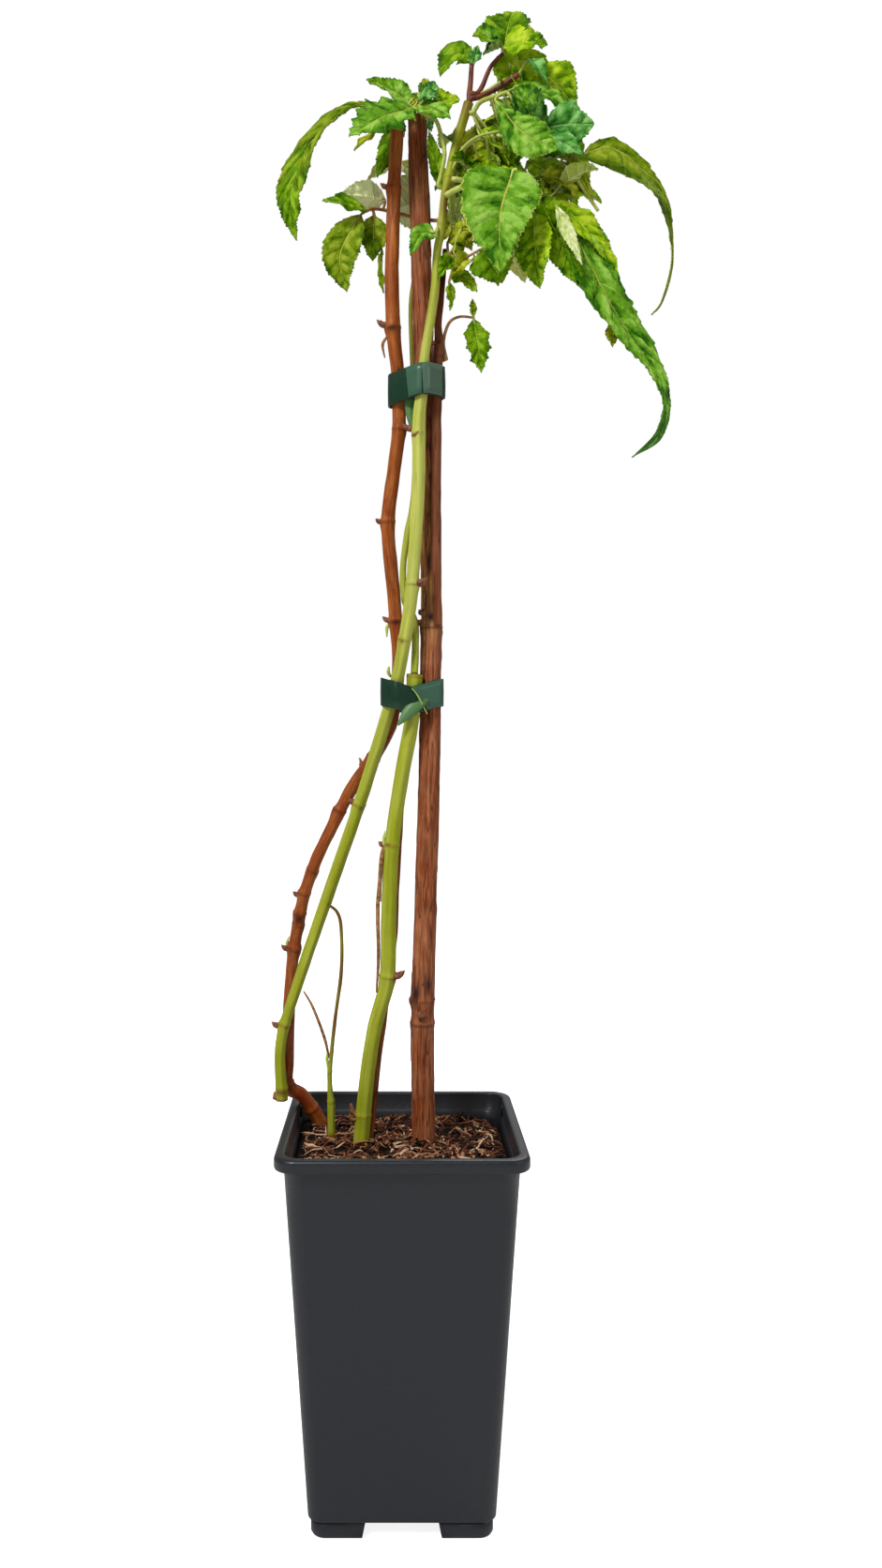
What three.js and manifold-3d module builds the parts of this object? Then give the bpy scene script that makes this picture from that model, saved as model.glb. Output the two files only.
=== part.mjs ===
// Raspberry plant in a square nursery pot: old and young canes held by two ties, and a leafy crown.
// Millimetres, +Z up. The plant is laid out round the pot's upright axis, +Y pointing to its back,
// and the whole is then moved so that the origin lies on the ground under the middle of its box.
import * as THREE from 'three';
import { mergeVertices } from 'three/addons/utils/BufferGeometryUtils.js';
import Module from 'manifold-3d';

const wasm = await Module();
wasm.setup();

// ---------------------------------------------------------------- driving dimensions
const GAP = 0.3; // clearance between neighbouring pieces

const POT = {
  height: 153.4,
  rimHalf: 50, // half of the rim's outer side
  rimCorner: 9,
  lip: 4.2, // width of the flat rim
  skirt: 5.5, // height of the turned-down rim
  bodyHalfTop: 46.45,
  bodyHalfFoot: 37.4,
  wall: 1.3,
  floor: 1.6,
  ledge: 7.8, // depth of the small inside step under the rim
  footHeight: 7,
  footHalf: 36.3,
  footWall: 3.5,
  footSlot: 28.8, // gap between two corner feet
};

const SOIL_TOP = 142.4;
const SOIL_EDGE = 1; // drop of the compost's rounded edge

const TIES = {
  tie_lower: { middle: 332, height: 11.8, window: [330, 344], fold: 0.3, foldAt: 4.5, lean: 0 },
  tie_upper: { middle: 465.4, height: 13.2, window: [459, 473], fold: 0, foldAt: 4, lean: 0.14 },
};
const TIE_SKIN = 0.9;
const TIE_SIDES = 36;
const TIE_STEPS = 8; // heights at which a tie's canes are looked at

const SLANT = 0.18; // how far a leaf's side veins lean towards its tip, as a part of its length
const LEAF_SKIN = 0.8;
const LEAF_SLENDER = 80; // a long leaf is at least this part of its length thick
const LEAF_EDGE = 0.25; // half width left at the base and at the tip
const STRIP_END = 1 / 3; // part of a leaf's length along which a strip narrows to its tip
const LEAF_ROW = 7; // length of one row of a blade's faces
const LONG_LEAF = 35; // longer leaves have twice as many faces across
const STALK = { root: 0.65, end: 0.45, sides: 3, steps: 2 };
const TWIG_SIDES = 4;
const GOLDEN_ANGLE = THREE.MathUtils.degToRad(137.5);

// ---------------------------------------------------------------- canes: [x, y, z, radius] up each one
const FOOT = SOIL_TOP + GAP;

const CANES = {
  old_cane: [
    [9.5, 8, FOOT, 4.85], [9, 8, 200, 4.9], [11.5, 7, 287, 4.45], [12.7, 6.5, 363, 4.25],
    [11.9, 6.5, 392, 3.85], [10.7, 6.5, 432, 4.05], [8.7, 6.5, 512.5, 4.2], [6.6, 6, 582.3, 4],
  ],
  side_cane: [
    [15.6, 0.9, 364, 1.8], [14.8, 1, 391, 2], [14.8, 1.2, 455, 2.2], [15.4, 1.8, 475, 2.1],
    [15.9, 1.6, 485, 2], [15.5, 1.4, 492, 1.7], [16.4, 0.4, 501, 1.5], [17.4, -0.6, 510, 1.2],
    [18.2, -1, 523, 0.8],
  ],
  green_cane: [
    [-52.6, 18, 157.8, 2.5], [-52.8, 16, 184, 2.3], [-44.8, 14, 211.1, 2.4], [-32.8, 12, 246.2, 2.6],
    [-17.9, 7, 289.1, 2.65], [-6, 2, 327.1, 2.65], [-1.2, -1, 344.9, 2.7], [3.2, -4, 370.2, 2.7],
    [5, -5, 389.8, 2.65], [7, -5, 421.3, 2.7], [7.2, -5, 448.8, 2.75], [8.3, -5, 461, 2.4],
    [9.7, -5, 477, 2], [12.8, -5, 496, 1.85], [14.2, -5, 507, 1.8], [14.9, -5, 519.7, 1.7],
    [16.7, -5, 531, 1.65], [17.8, -4.6, 543, 1.6], [19.6, -4.2, 552, 1.75], [23.4, -3.4, 567.9, 1.8],
    [28.2, -3, 583.7, 2],
  ],
  brown_cane: [
    [-36, 33, FOOT, 3.4], [-40, 30.5, 150, 3.15], [-44.6, 27.3, 157.7, 3.05], [-49, 25, 160.8, 3.1],
    [-51, 23, 165.5, 2.9], [-50.3, 22, 174, 2.75], [-49.9, 21.5, 193.3, 2.7], [-47.8, 20.5, 221, 2.6],
    [-43.1, 17, 246, 2.6],
    [-37.8, 15.5, 262, 2.6], [-30, 14.5, 278.7, 2.6], [-21.5, 14.3, 295, 2.7], [-13, 13.5, 307.2, 2.75],
    [-6.1, 11.5, 319, 2.75], [-3.7, 10.2, 327, 2.75], [-1.4, 8, 347.6, 2.75], [-3.1, 7, 375, 2.8],
    [-5.8, 5.2, 407, 2.9], [-3.2, 4, 431.4, 2.9], [-1.1, 3, 449, 2.9], [-1.6, 2.5, 471, 2.9],
    [-3.3, 2.5, 487, 3], [-4.2, 2.5, 510.9, 3.05], [-3.2, 2.5, 550.9, 2.9], [-1.8, 2.5, 575.6, 2.7],
  ],
  middle_cane: [
    [-17.6, 6, FOOT, 3.4], [-15, 5, 170.7, 3.2], [-11.6, 4, 193, 3.1], [-6.4, 3, 213.2, 3.3],
    [-5.6, 2, 239.4, 3.2], [-4.4, 1, 269.4, 3.1], [-0.2, 0.5, 299.2, 3.1], [4.4, 1, 325.1, 3.1],
    [5.4, 1.5, 343.4, 3.2],
  ],
  middle_shoot: [
    [5.4, 1.3, 343.4 + GAP, 1.6], [5.8, 3, 355.2, 1.6], [5.4, 6, 366.7, 1.6], [1.4, 5, 375.5, 1.4],
    [0.5, 4.8, 387.5, 1.4], [2.3, 5, 403.6, 1.4], [5, 5.5, 419.6, 1.2], [5.9, 10.6, 449.3, 1.1],
    [4.7, 10.6, 477.7, 1], [3.9, 10.6, 502, 0.9], [5.5, 12, 518, 0.8],
  ],
  thin_shoot: [
    [-30.3, 12, FOOT, 1.8], [-30.7, 12, 156.7, 1.6], [-31.1, 11.5, 171.1, 0.9], [-29, 11, 193.5, 0.8],
    [-26.1, 10.5, 216, 0.8], [-26.2, 10.5, 234.2, 0.75], [-27.8, 10.5, 241, 0.7],
    [-31.3, 9.5, 244.5, 0.6],
  ],
  dry_stem: [
    [-13.6, 9, FOOT, 1.2], [-9.8, 8, 178, 1.1], [-5.2, 7.5, 210.4, 1.1], [-3, 7, 230.7, 1.1],
    [-1.8, 6.2, 258.9, 1.1], [0.6, 5.6, 295.2, 1.1], [3.4, 5.9, 321.3, 1],
  ],
};

const LEAFY_CANES = ['green_cane', 'side_cane'];

// Buds and stubs on a cane: height up the plant, compass angle, length and radius.
const BUDS = {
  old_cane: [[198, -95, 2.4, 1.7], [366, 160, 2.5, 1.4], [370, -150, 2, 1.3]],
  green_cane: [[381, -15, 4, 1.5], [446, 170, 4.5, 1.2], [289, 190, 2.5, 1.2], [191, 180, 3, 1.2]],
  brown_cane: [[224, 190, 3, 1.2], [248, 170, 2.5, 1.1], [367, 180, 3, 1.1], [409, 175, 2.5, 1.1],
    [492, 185, 4, 1.2], [551, 180, 3, 1]],
  middle_cane: [[215, -15, 4.5, 1.4], [271, 185, 2.5, 1.2]],
  side_cane: [[484, 195, 2, 0.8]],
};
const BUD_SIDES = 4;

// ---------------------------------------------------------------- foliage
// A leaf: the points along its midrib, the way its upper face looks, and its width. Options: `turned`
// is the way that the tip looks, `arch` the rise of a two-point midrib, `fold` the angle of each half
// above flat, `curl` how much the margin curls up, `peak` where along the leaf it is widest, `taper`
// how fast it narrows beyond there, `strip` half of its least width, and `uneven` how much wider than
// that one half is.
function leaf(name, rib, facing, width, options = {}) {
  return { name, rib, facing, width, ...options };
}

// Each mass grows from one cane. `from` tells where: the cane's tip, or a height and a compass angle
// on its side. The first twig is the stem; a twig has the points it runs through and two radii.
const MASSES = {
  top_leaves: {
    from: { cane: 'green_cane' },
    twigs: [
      { path: [[28.5, -3, 587], [29, -3, 592.5], [29.5, -3, 600]], radius: [1.5, 1] },
      { path: [[31.5, -3, 587.5], [34, -3, 591], [37.5, -3, 599], [42.5, -4, 604]], radius: [1.3, 0.8] },
      { path: [[33, -3, 586.5], [40, -4, 589.5], [49, -6, 594]], radius: [1.2, 1.2] },
      { path: [[34, -3, 588], [43, -4.5, 592.5], [50, 3, 599], [58.5, 9, 605.5]], radius: [0.8, 0.6] },
    ],
    leaves: [
      leaf('crest',
        [[43, -3, 606], [47, 4, 626.5]],
        [-0.1, -0.9, 0.4], 21, { arch: 0.05, fold: 12, curl: 15, peak: 0.5 }),
      leaf('crest_right',
        [[43, -4, 606], [61, -7, 606]],
        [0.2, -0.85, 0.45], 20, { arch: 0.1, fold: 10, curl: 10 }),
      leaf('crest_left',
        [[42, -5, 606.5], [29.5, -10, 608]],
        [-0.2, -0.85, 0.5], 17, { arch: 0.08, fold: 5, curl: 30 }),
      leaf('crest_low',
        [[43, 1, 604.5], [61, 4, 589.5]],
        [0.1, -0.95, 0.2], 24, { arch: 0.05, fold: 10 }),
      leaf('tip_left',
        [[29, -3, 601], [22.5, -4, 603.5], [16, -8, 592.5]],
        [-0.3, -0.8, 0.4], 15, { fold: 12 }),
      leaf('bud_leaf', [[30, -3, 599], [32, -3, 608]], [-0.1, -1, 0.2], 6, { arch: 0.03, fold: 25 }),
      leaf('teal_scrap', [[52, -8, 599], [59.5, -13, 587]], [0.3, -0.9, 0.3], 8, { arch: 0.1, fold: 30 }),
      leaf('behind', [[58, 9, 606], [75, 9, 588.5]], [0.2, -0.95, 0.2], 23, { arch: 0.06, fold: 8 }),
    ],
  },
  upper_right_leaves: {
    from: { cane: 'green_cane', height: 579.5, angle: -30 },
    twigs: [
      { path: [[33, -7, 582], [38.5, -11, 582], [43.5, -15, 581.5]], radius: [1, 0.9] },
      { path: [[43, -14, 582], [46.5, -9, 586], [50.5, -5, 589]], radius: [0.8, 0.6] },
    ],
    leaves: [
      leaf('cupped',
        [[38.4, -15, 578.5], [48.4, -24, 560.5], [62.2, -27, 551.5]],
        [-0.35, -0.9, 0.3], 18, { fold: 8, curl: -20, peak: 0.6 }),
      leaf('cup_back',
        [[55, -17, 561], [45, -12, 584]],
        [-0.2, -0.95, 0.25], 18, { arch: 0.04, fold: 30, curl: 50 }),
      leaf('pale_strip',
        [[47, -9, 587.5], [70, -10, 578]],
        [0.1, -0.85, 0.5], 12, { arch: 0.05, fold: 15 }),
    ],
  },
  outer_right_leaves: {
    from: { cane: 'green_cane', height: 563, angle: 10 },
    twigs: [
      { path: [[27, -2, 566], [33.5, -2, 569.5], [44, -6, 568.5], [58, -13, 566.5]], radius: [1.1, 0.9] },
      { path: [[57, -12.5, 567], [67.5, -6, 566.5], [78.5, 4, 565.5]], radius: [0.9, 0.7] },
      { path: [[64, -8, 567], [68, -8, 560.5], [73, -8, 549.5], [82, -8, 536]], radius: [1.1, 0.7] },
    ],
    leaves: [
      leaf('puckered',
        [[57.5, -14, 567], [79, -16, 568]],
        [0.1, -1, 0.1], 21, { arch: 0.05, fold: 8, curl: -10, peak: 0.5 }),
      leaf('puckered_low',
        [[58, -17, 563.5], [73.5, -22, 552]],
        [0, -1, 0.25], 11, { arch: 0.03, fold: 10 }),
      leaf('arching',
        [
          [78.5, 5, 566.5], [90, 4, 568.5], [103.5, 3, 558], [111.5, 2.5, 546.5],
          [114.5, 2, 532], [114.7, 1, 516.5], [110.5, 1, 501.5], [106.3, 1, 496],
        ],
        [0.1, -0.9, 0.4], 23,
        { turned: [1, -0.1, 0.15], fold: 10, peak: 0.26, taper: 3, strip: 2.2, uneven: 0.55 }),
    ],
  },
  upper_left_leaves: {
    from: { cane: 'green_cane', height: 547, angle: 190 },
    twigs: [
      {
        path: [
          [16.5, -4.6, 553], [18, -5.5, 561], [16.5, -5.5, 569],
          [14, -5.5, 575.5], [9, -5, 578.5], [5, -5, 580.5],
        ],
        radius: [0.9, 0.9],
      },
      { path: [[5, -4, 581], [-2.5, -1, 584.5], [-10, 2, 585.5]], radius: [0.9, 0.7] },
      { path: [[5, -4.5, 581], [0.5, 1, 582.5], [0.5, 10, 584]], radius: [0.7, 0.6] },
    ],
    leaves: [
      leaf('lobed',
        [[5, -5, 580.5], [-21.5, -20, 561]],
        [-0.1, -0.95, 0.35], 24, { arch: 0.05, fold: 8 }),
      leaf('folded', [[5, 0, 584.5], [-15, 5, 598.5]], [-0.2, -0.8, 0.6], 12, { arch: 0.05, fold: 25 }),
      leaf('long_left',
        [[-10, 2, 585.5], [-24, 1, 583], [-39, -1, 567], [-46.5, -3, 546], [-44.5, -3, 526]],
        [-0.5, -0.65, 0.55], 17, { turned: [-0.6, -0.75, 0.1], fold: 12, peak: 0.6, strip: 3 }),
      leaf('inner_low', [[7, -6, 581], [20, -14, 571.5]], [0, -0.95, 0.35], 11, { arch: 0.05, fold: 10 }),
      leaf('inner_cup',
        [[10.5, -4, 582], [13.5, -3, 593]],
        [0, -0.95, 0.3], 10, { arch: 0.03, fold: 20, curl: 60 }),
      leaf('inner_lime',
        [[13, -3, 583], [24.5, -2, 586]],
        [0.1, -0.9, 0.4], 12, { arch: 0.06, fold: 10 }),
      leaf('bud_pale', [[9.5, -1, 587.5], [10, 1, 596.5]], [0, -1, 0.2], 6, { arch: 0.06, fold: 20 }),
      leaf('under_lobed',
        [[3, 3, 582.5], [-20, -8, 561.5]],
        [-0.1, -0.3, 0.95], 13, { arch: 0.04, fold: 10 }),
      leaf('behind_brown',
        [[0.5, 10, 584], [-10.5, 9, 558.5]],
        [-0.2, -0.95, 0.2], 11, { arch: 0.03, fold: 10 }),
    ],
  },
  lower_left_leaves: {
    from: { cane: 'green_cane', height: 534, angle: 95 },
    twigs: [
      {
        path: [
          [15.6, 4, 537.5], [13.4, 10.5, 540.5], [8, 12.6, 542],
          [-2, 12.4, 544.5], [-9, 9.5, 544.8], [-13.5, 5, 543],
        ],
        radius: [0.9, 0.7],
      },
    ],
    leaves: [
      leaf('pale_fold',
        [[-7, 9, 548.5], [-26, 1, 547.5]],
        [-0.1, 0.75, 0.65], 14, { arch: 0.03, fold: 15 }),
      leaf('dark_tip',
        [[-14.5, 2, 541], [-33, -8, 540.5]],
        [-0.1, -0.85, 0.5], 12, { arch: 0.04, fold: 10 }),
      leaf('hanging',
        [[-17.5, 0, 538], [-26, -4, 519.5], [-23, -8, 502.5]],
        [-0.05, -1, 0.1], 17, { fold: 12 }),
      leaf('hanging_small',
        [[-12, 7, 541], [-12.5, 8, 522]],
        [0.1, -1, 0.1], 13, { arch: 0.03, fold: 10 }),
      leaf('narrow', [[-8.5, 10, 527], [-8, 10, 509]], [-1, -0.6, 0], 5, { arch: 0.03, fold: 20 }),
      leaf('behind_canes', [[11, 16, 552.5], [-6, 16, 547]], [0, 0.8, 0.5], 22, { arch: 0.02, fold: 10 }),
    ],
  },
  front_leaf: {
    from: { cane: 'green_cane', height: 543.5, angle: -60 },
    twigs: [
      { path: [[24, -11, 544], [33, -16, 544], [46.5, -24, 545]], radius: [1.3, 1] },
    ],
    leaves: [
      leaf('big_front',
        [[45, -24, 545], [39, -32, 523], [38.5, -38, 498]],
        [0, -0.95, 0.3], 34, { fold: 10, peak: 0.31, uneven: 0.1 }),
    ],
  },
  right_leaves: {
    from: { cane: 'green_cane', height: 551, angle: -20 },
    twigs: [
      {
        path: [[28, -5, 550], [39.5, -7, 548], [51.5, -9, 545], [60.5, -12, 540], [69, -15, 527.5]],
        radius: [1.2, 0.8],
      },
      { path: [[50, -8.5, 545.5], [51.5, -3, 553], [53.5, 2, 561.5]], radius: [0.6, 0.5] },
      { path: [[49.5, -8.7, 545.4], [51.5, -14, 538], [54, -18, 530]], radius: [0.7, 0.6] },
    ],
    leaves: [
      leaf('hanging_point',
        [[54, -18, 530], [55.5, -25, 497]],
        [-0.6, -0.8, 0.1], 18, { arch: 0.03, fold: 12 }),
      leaf('dark_fold',
        [[57.5, -10, 540], [73.5, -22, 497.5]],
        [-0.5, -0.75, 0.4], 21, { arch: 0.04, fold: 42 }),
      leaf('brownish',
        [[63.5, -13, 538], [89.5, -12, 508.5]],
        [0.35, -0.75, 0.55], 19, { arch: 0.05, fold: 10 }),
      leaf('long_right',
        [
          [70, -16, 524.5], [82, -20, 498], [92.5, -24, 477.5], [101.5, -27, 462.5],
          [105.5, -29, 449.5], [102, -31, 436], [91.5, -32, 427],
        ],
        [0.35, -0.9, 0.2], 22, { turned: [0.7, -0.6, 0.2], fold: 8, peak: 0.22, taper: 2.6, strip: 2.2 }),
      leaf('flap', [[86, -18, 486], [86, -19, 475.5]], [0, -1, 0.1], 6, { fold: 12 }),
      leaf('lime_behind', [[53.5, 2, 562], [73, 0, 548]], [0.1, -0.9, 0.3], 17, { arch: 0.05, fold: 10 }),
      leaf('pale_small', [[57, -5, 549.5], [68, -7, 543]], [0, 0.5, 0.85], 10, { arch: 0.03, fold: 12 }),
    ],
  },
  middle_leaves: {
    from: { cane: 'green_cane', height: 552.5, angle: 80 },
    twigs: [
      { path: [[21, 2, 554], [23, 3, 558]], radius: [0.9, 0.7] },
    ],
    leaves: [
      leaf('mid_olive',
        [[23.5, 2, 559.5], [42, 7, 582.5]],
        [0, -0.95, 0.3], 15, { arch: 0.03, fold: 10 }),
      leaf('mid_lime',
        [[24.5, 4, 559], [53, 6, 567.5]],
        [0.1, -0.95, 0.25], 19, { arch: 0.04, fold: 10 }),
      leaf('mid_deep', [[22.5, 6, 554], [42.5, 9, 556.5]], [0, -0.9, 0.4], 14, { arch: 0.03, fold: 10 }),
      leaf('by_cane', [[17, 0.5, 549], [11.5, -1.5, 573]], [-0.1, -1, 0.2], 7, { arch: 0.02, fold: 12 }),
    ],
  },
  stem_leaves: {
    from: { cane: 'side_cane', height: 520, angle: -40 },
    twigs: [
      { path: [[21.5, -4, 513]], radius: [0.7, 0.6] },
      { path: [[21.5, -4, 513.5], [27, -8, 516.5], [32.5, -10, 519]], radius: [0.6, 0.5] },
    ],
    leaves: [
      leaf('low_behind', [[34, -10, 519], [41.5, -13, 504]], [0, -1, 0], 20, { arch: 0.03, fold: 6 }),
      leaf('olive_mid',
        [[19.5, 0, 526.5], [34.5, -5, 532]],
        [0.2, -0.85, 0.5], 13, { arch: 0.04, fold: 10 }),
      leaf('small_right',
        [[21, -4, 512], [31.5, -8, 502.5]],
        [0.1, -0.9, 0.4], 9, { arch: 0.06, fold: 12 }),
      leaf('narrow_right',
        [[20, -3, 508.5], [20.5, -3, 496.5]],
        [0.8, -0.7, 0], 5, { arch: 0.02, fold: 12 }),
    ],
  },
  cane_leaf: {
    from: { cane: 'green_cane', height: 528.5, angle: 235 },
    twigs: [
      { path: [[14.5, -8.3, 527], [12, -9, 527]], radius: [0.8, 0.6] },
    ],
    leaves: [
      leaf('on_cane',
        [[14.5, -8, 525.5], [8.5, -10, 525.5], [3.5, -12, 516]],
        [-0.1, -0.9, 0.45], 10, { fold: 12 }),
    ],
  },
  side_shoot_leaves: {
    from: { cane: 'side_cane', height: 478, angle: 25 },
    twigs: [
      {
        path: [[17.8, 3, 485], [20.1, 2, 492.8], [24.5, 1, 495.2], [30.5, 0, 494.5]],
        radius: [0.9, 0.5],
      },
    ],
    leaves: [
      leaf('hang', [[30.5, 0, 493.5], [33.5, -4, 470]], [0.1, -1, 0.1], 12.5, { arch: 0.03, fold: 10 }),
      leaf('upright', [[30.5, 0, 495], [30, 0, 502.5]], [0, -1, 0], 3.5, { arch: 0.01, fold: 15 }),
    ],
  },
};

// Masses at the back of the crown: sprays of three leaflets set out by a seeded rule inside a space.
const SEEDED_MASSES = {
  back_leaves: {
    from: { cane: 'green_cane', height: 541, angle: 85 },
    stem: {
      path: [[19, 4, 541.5], [24, 14, 545], [33, 24, 556], [38, 34, 567], [42, 42, 578]],
      radius: [1.1, 0.7],
    },
    space: { centre: [38, 36, 573], half: [31, 24, 27] },
    sprays: 13,
    petiole: 13,
    leaflet: 23,
    seed: 11,
  },
  back_left_leaves: {
    from: { cane: 'brown_cane', height: 560, angle: 75 },
    stem: { path: [[-1.5, 8, 561], [0, 14, 564], [0, 24, 571], [-2, 34, 579]], radius: [1, 0.6] },
    space: { centre: [-2, 33, 577], half: [20, 20, 19] },
    sprays: 8,
    petiole: 9,
    leaflet: 20,
    seed: 5,
  },
  back_right_leaves: {
    from: { cane: 'green_cane', height: 537.5, angle: 40 },
    stem: { path: [[22, 4, 537], [34, 15, 536], [48, 25, 538], [60, 32, 541]], radius: [1.1, 0.7] },
    space: { centre: [58, 33, 533], half: [23, 21, 16] },
    sprays: 8,
    petiole: 9,
    leaflet: 21,
    seed: 23,
  },
};
const LIMB_CLEARANCE = 1.2;
const LEAFLET_WIDTH = 0.62; // of a leaflet's length

const COLOURS = {
  pot: 0x333437,
  compost: 0x3c2a1d,
  old_cane: 0x7a4a38,
  side_cane: 0x76503c,
  green_cane: 0x9fa64c,
  brown_cane: 0x8a5230,
  middle_cane: 0xa0a455,
  middle_shoot: 0x8d7440,
  thin_shoot: 0x85683a,
  dry_stem: 0xa08a63,
  tie: 0x1f4a39,
  foliage: 0x4f7f2a,
};

// ---------------------------------------------------------------- solids
function vector(point) {
  return new THREE.Vector3(...point);
}

function toGeometry(points, triangles) {
  const geometry = new THREE.BufferGeometry();
  const numbers = points.flatMap((point) => [point.x, point.y, point.z]);
  geometry.setAttribute('position', new THREE.Float32BufferAttribute(numbers, 3));
  geometry.setIndex(triangles);
  return geometry;
}

function toSolid(geometry) {
  const vertProperties = geometry.attributes.position.array;
  const triVerts = new Uint32Array(geometry.index.array);
  return new wasm.Manifold(new wasm.Mesh({ numProp: 3, vertProperties, triVerts }));
}

function fromSolid(solid) {
  const mesh = solid.getMesh();
  const geometry = new THREE.BufferGeometry();
  geometry.setAttribute('position', new THREE.BufferAttribute(mesh.vertProperties.slice(), 3));
  geometry.setIndex(Array.from(mesh.triVerts));
  return geometry;
}

// Joins geometries and keeps the largest piece, so sealed hollows are filled and scraps dropped.
function fuse(geometries) {
  const whole = geometries.map(toSolid).reduce((sum, solid) => sum.add(solid));
  const pieces = whole.decompose().sort((a, b) => b.volume() - a.volume());
  return fromSolid(pieces[0]);
}

// Skins a stack of rings with the same number of points, wound anticlockwise about the way that the
// stack runs. The two ends are capped, or joined to each other in a closed stack.
function loft(rings, closed = false) {
  const count = rings[0].length;
  const points = rings.flat();
  const triangles = [];
  const spans = closed ? rings.length : rings.length - 1;
  for (let i = 0; i < spans; i++) {
    const low = i * count;
    const high = ((i + 1) % rings.length) * count;
    for (let k = 0; k < count; k++) {
      const next = (k + 1) % count;
      triangles.push(low + k, low + next, high + next, low + k, high + next, high + k);
    }
  }
  if (!closed) {
    const last = (rings.length - 1) * count;
    points.push(middleOf(rings[0]), middleOf(rings[rings.length - 1]));
    for (let k = 0; k < count; k++) {
      const next = (k + 1) % count;
      triangles.push(points.length - 2, next, k, points.length - 1, last + k, last + next);
    }
  }
  return toGeometry(points, triangles);
}

function middleOf(ring) {
  const sum = ring.reduce((total, point) => total.add(point), new THREE.Vector3());
  return sum.divideScalar(ring.length);
}

function smooth(path) {
  return new THREE.CatmullRomCurve3(path.map(vector), false, 'catmullrom');
}

// A tapering limb along a curve. With `level`, its foot is cut flat, parallel to the ground.
function limb(curve, radiusAt, steps, sides, level = false) {
  const rings = [];
  const across = new THREE.Vector3(0.31, 0.95, 0.05);
  for (let i = 0; i <= steps; i++) {
    const t = i / steps;
    const centre = curve.getPoint(t);
    const along = level && i === 0 ? new THREE.Vector3(0, 0, 1) : curve.getTangent(t);
    across.addScaledVector(along, -across.dot(along)).normalize();
    const up = along.clone().cross(across);
    rings.push(Array.from({ length: sides }, (_, k) => {
      const angle = (2 * Math.PI * k) / sides;
      return centre.clone()
        .addScaledVector(across, radiusAt(t) * Math.cos(angle))
        .addScaledVector(up, radiusAt(t) * Math.sin(angle));
    }));
  }
  return loft(rings);
}

// A ring of points round a square with rounded corners.
function squareRing(half, corner, z, steps = 3) {
  const ring = [];
  for (let quarter = 0; quarter < 4; quarter++) {
    const start = (quarter * Math.PI) / 2;
    const x = (half - corner) * Math.sign(Math.cos(start + Math.PI / 4));
    const y = (half - corner) * Math.sign(Math.sin(start + Math.PI / 4));
    for (let i = 0; i <= steps; i++) {
      const angle = start + (i / steps) * (Math.PI / 2);
      ring.push(new THREE.Vector3(x + corner * Math.cos(angle), y + corner * Math.sin(angle), z));
    }
  }
  return ring;
}

// ---------------------------------------------------------------- pot and compost
function bodyHalf(z) {
  const rise = (z - POT.footHeight) / (POT.height - POT.skirt - POT.footHeight);
  return THREE.MathUtils.lerp(POT.bodyHalfFoot, POT.bodyHalfTop, rise);
}

function bodyCorner(z) {
  return THREE.MathUtils.lerp(6, POT.rimCorner - 0.5, z / POT.height);
}

function potShell() {
  const skirtFoot = POT.height - POT.skirt;
  const ledge = POT.height - POT.ledge;
  const inside = POT.footHeight + POT.floor;
  const opening = POT.rimHalf - POT.lip;
  const rims = [
    [bodyHalf(POT.footHeight) - 0.6, bodyCorner(0), POT.footHeight],
    [bodyHalf(POT.footHeight + 1), bodyCorner(0), POT.footHeight + 1],
    [bodyHalf(skirtFoot), bodyCorner(skirtFoot), skirtFoot],
    [POT.rimHalf, POT.rimCorner, skirtFoot],
    [POT.rimHalf, POT.rimCorner, POT.height - 1.2],
    [POT.rimHalf - 0.35, POT.rimCorner, POT.height - 0.35],
    [POT.rimHalf - 1.2, POT.rimCorner - 0.6, POT.height],
    [opening, POT.rimCorner - 1.8, POT.height],
    [opening - 0.1, POT.rimCorner - 1.8, ledge],
    [bodyHalf(ledge - 0.8) - POT.wall, bodyCorner(ledge) - POT.wall, ledge - 0.8],
    [bodyHalf(inside) - POT.wall, bodyCorner(0) - POT.wall, inside],
  ];
  return loft(rims.map(([half, corner, z]) => squareRing(half, corner, z)));
}

function box(x, y, z, centre) {
  const geometry = new THREE.BoxGeometry(x, y, z).translate(...centre);
  geometry.deleteAttribute('normal');
  geometry.deleteAttribute('uv');
  return mergeVertices(geometry);
}

// The four corner feet: a low wall round the floor, parted by a slot in the middle of each side.
function potFeet() {
  const outer = POT.footHalf;
  const inner = POT.footHalf - POT.footWall;
  const top = POT.footHeight + 0.4;
  const corner = bodyCorner(0);
  const wall = loft([
    squareRing(outer - 0.8, corner - 0.4, 0),
    squareRing(outer, corner, 0.8),
    squareRing(outer, corner, top),
    squareRing(inner, corner - POT.footWall + 0.5, top),
    squareRing(inner, corner - POT.footWall + 0.5, 0),
  ], true);
  const reach = 4 * POT.footHalf;
  const depth = 2 * POT.footHeight;
  const slotX = toSolid(box(reach, POT.footSlot, depth, [0, 0, 0]));
  const slotY = toSolid(box(POT.footSlot, reach, depth, [0, 0, 0]));
  return fromSolid(toSolid(wall).subtract(slotX).subtract(slotY));
}

function compost() {
  const floor = POT.footHeight + POT.floor + GAP;
  const inset = POT.wall + GAP;
  const edge = SOIL_TOP - SOIL_EDGE;
  return loft([
    squareRing(bodyHalf(floor) - inset, bodyCorner(0) - inset, floor),
    squareRing(bodyHalf(edge) - inset, bodyCorner(edge) - inset, edge),
    squareRing(bodyHalf(edge) - inset - 1.5, bodyCorner(edge) - inset - 1, SOIL_TOP),
  ]);
}

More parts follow.
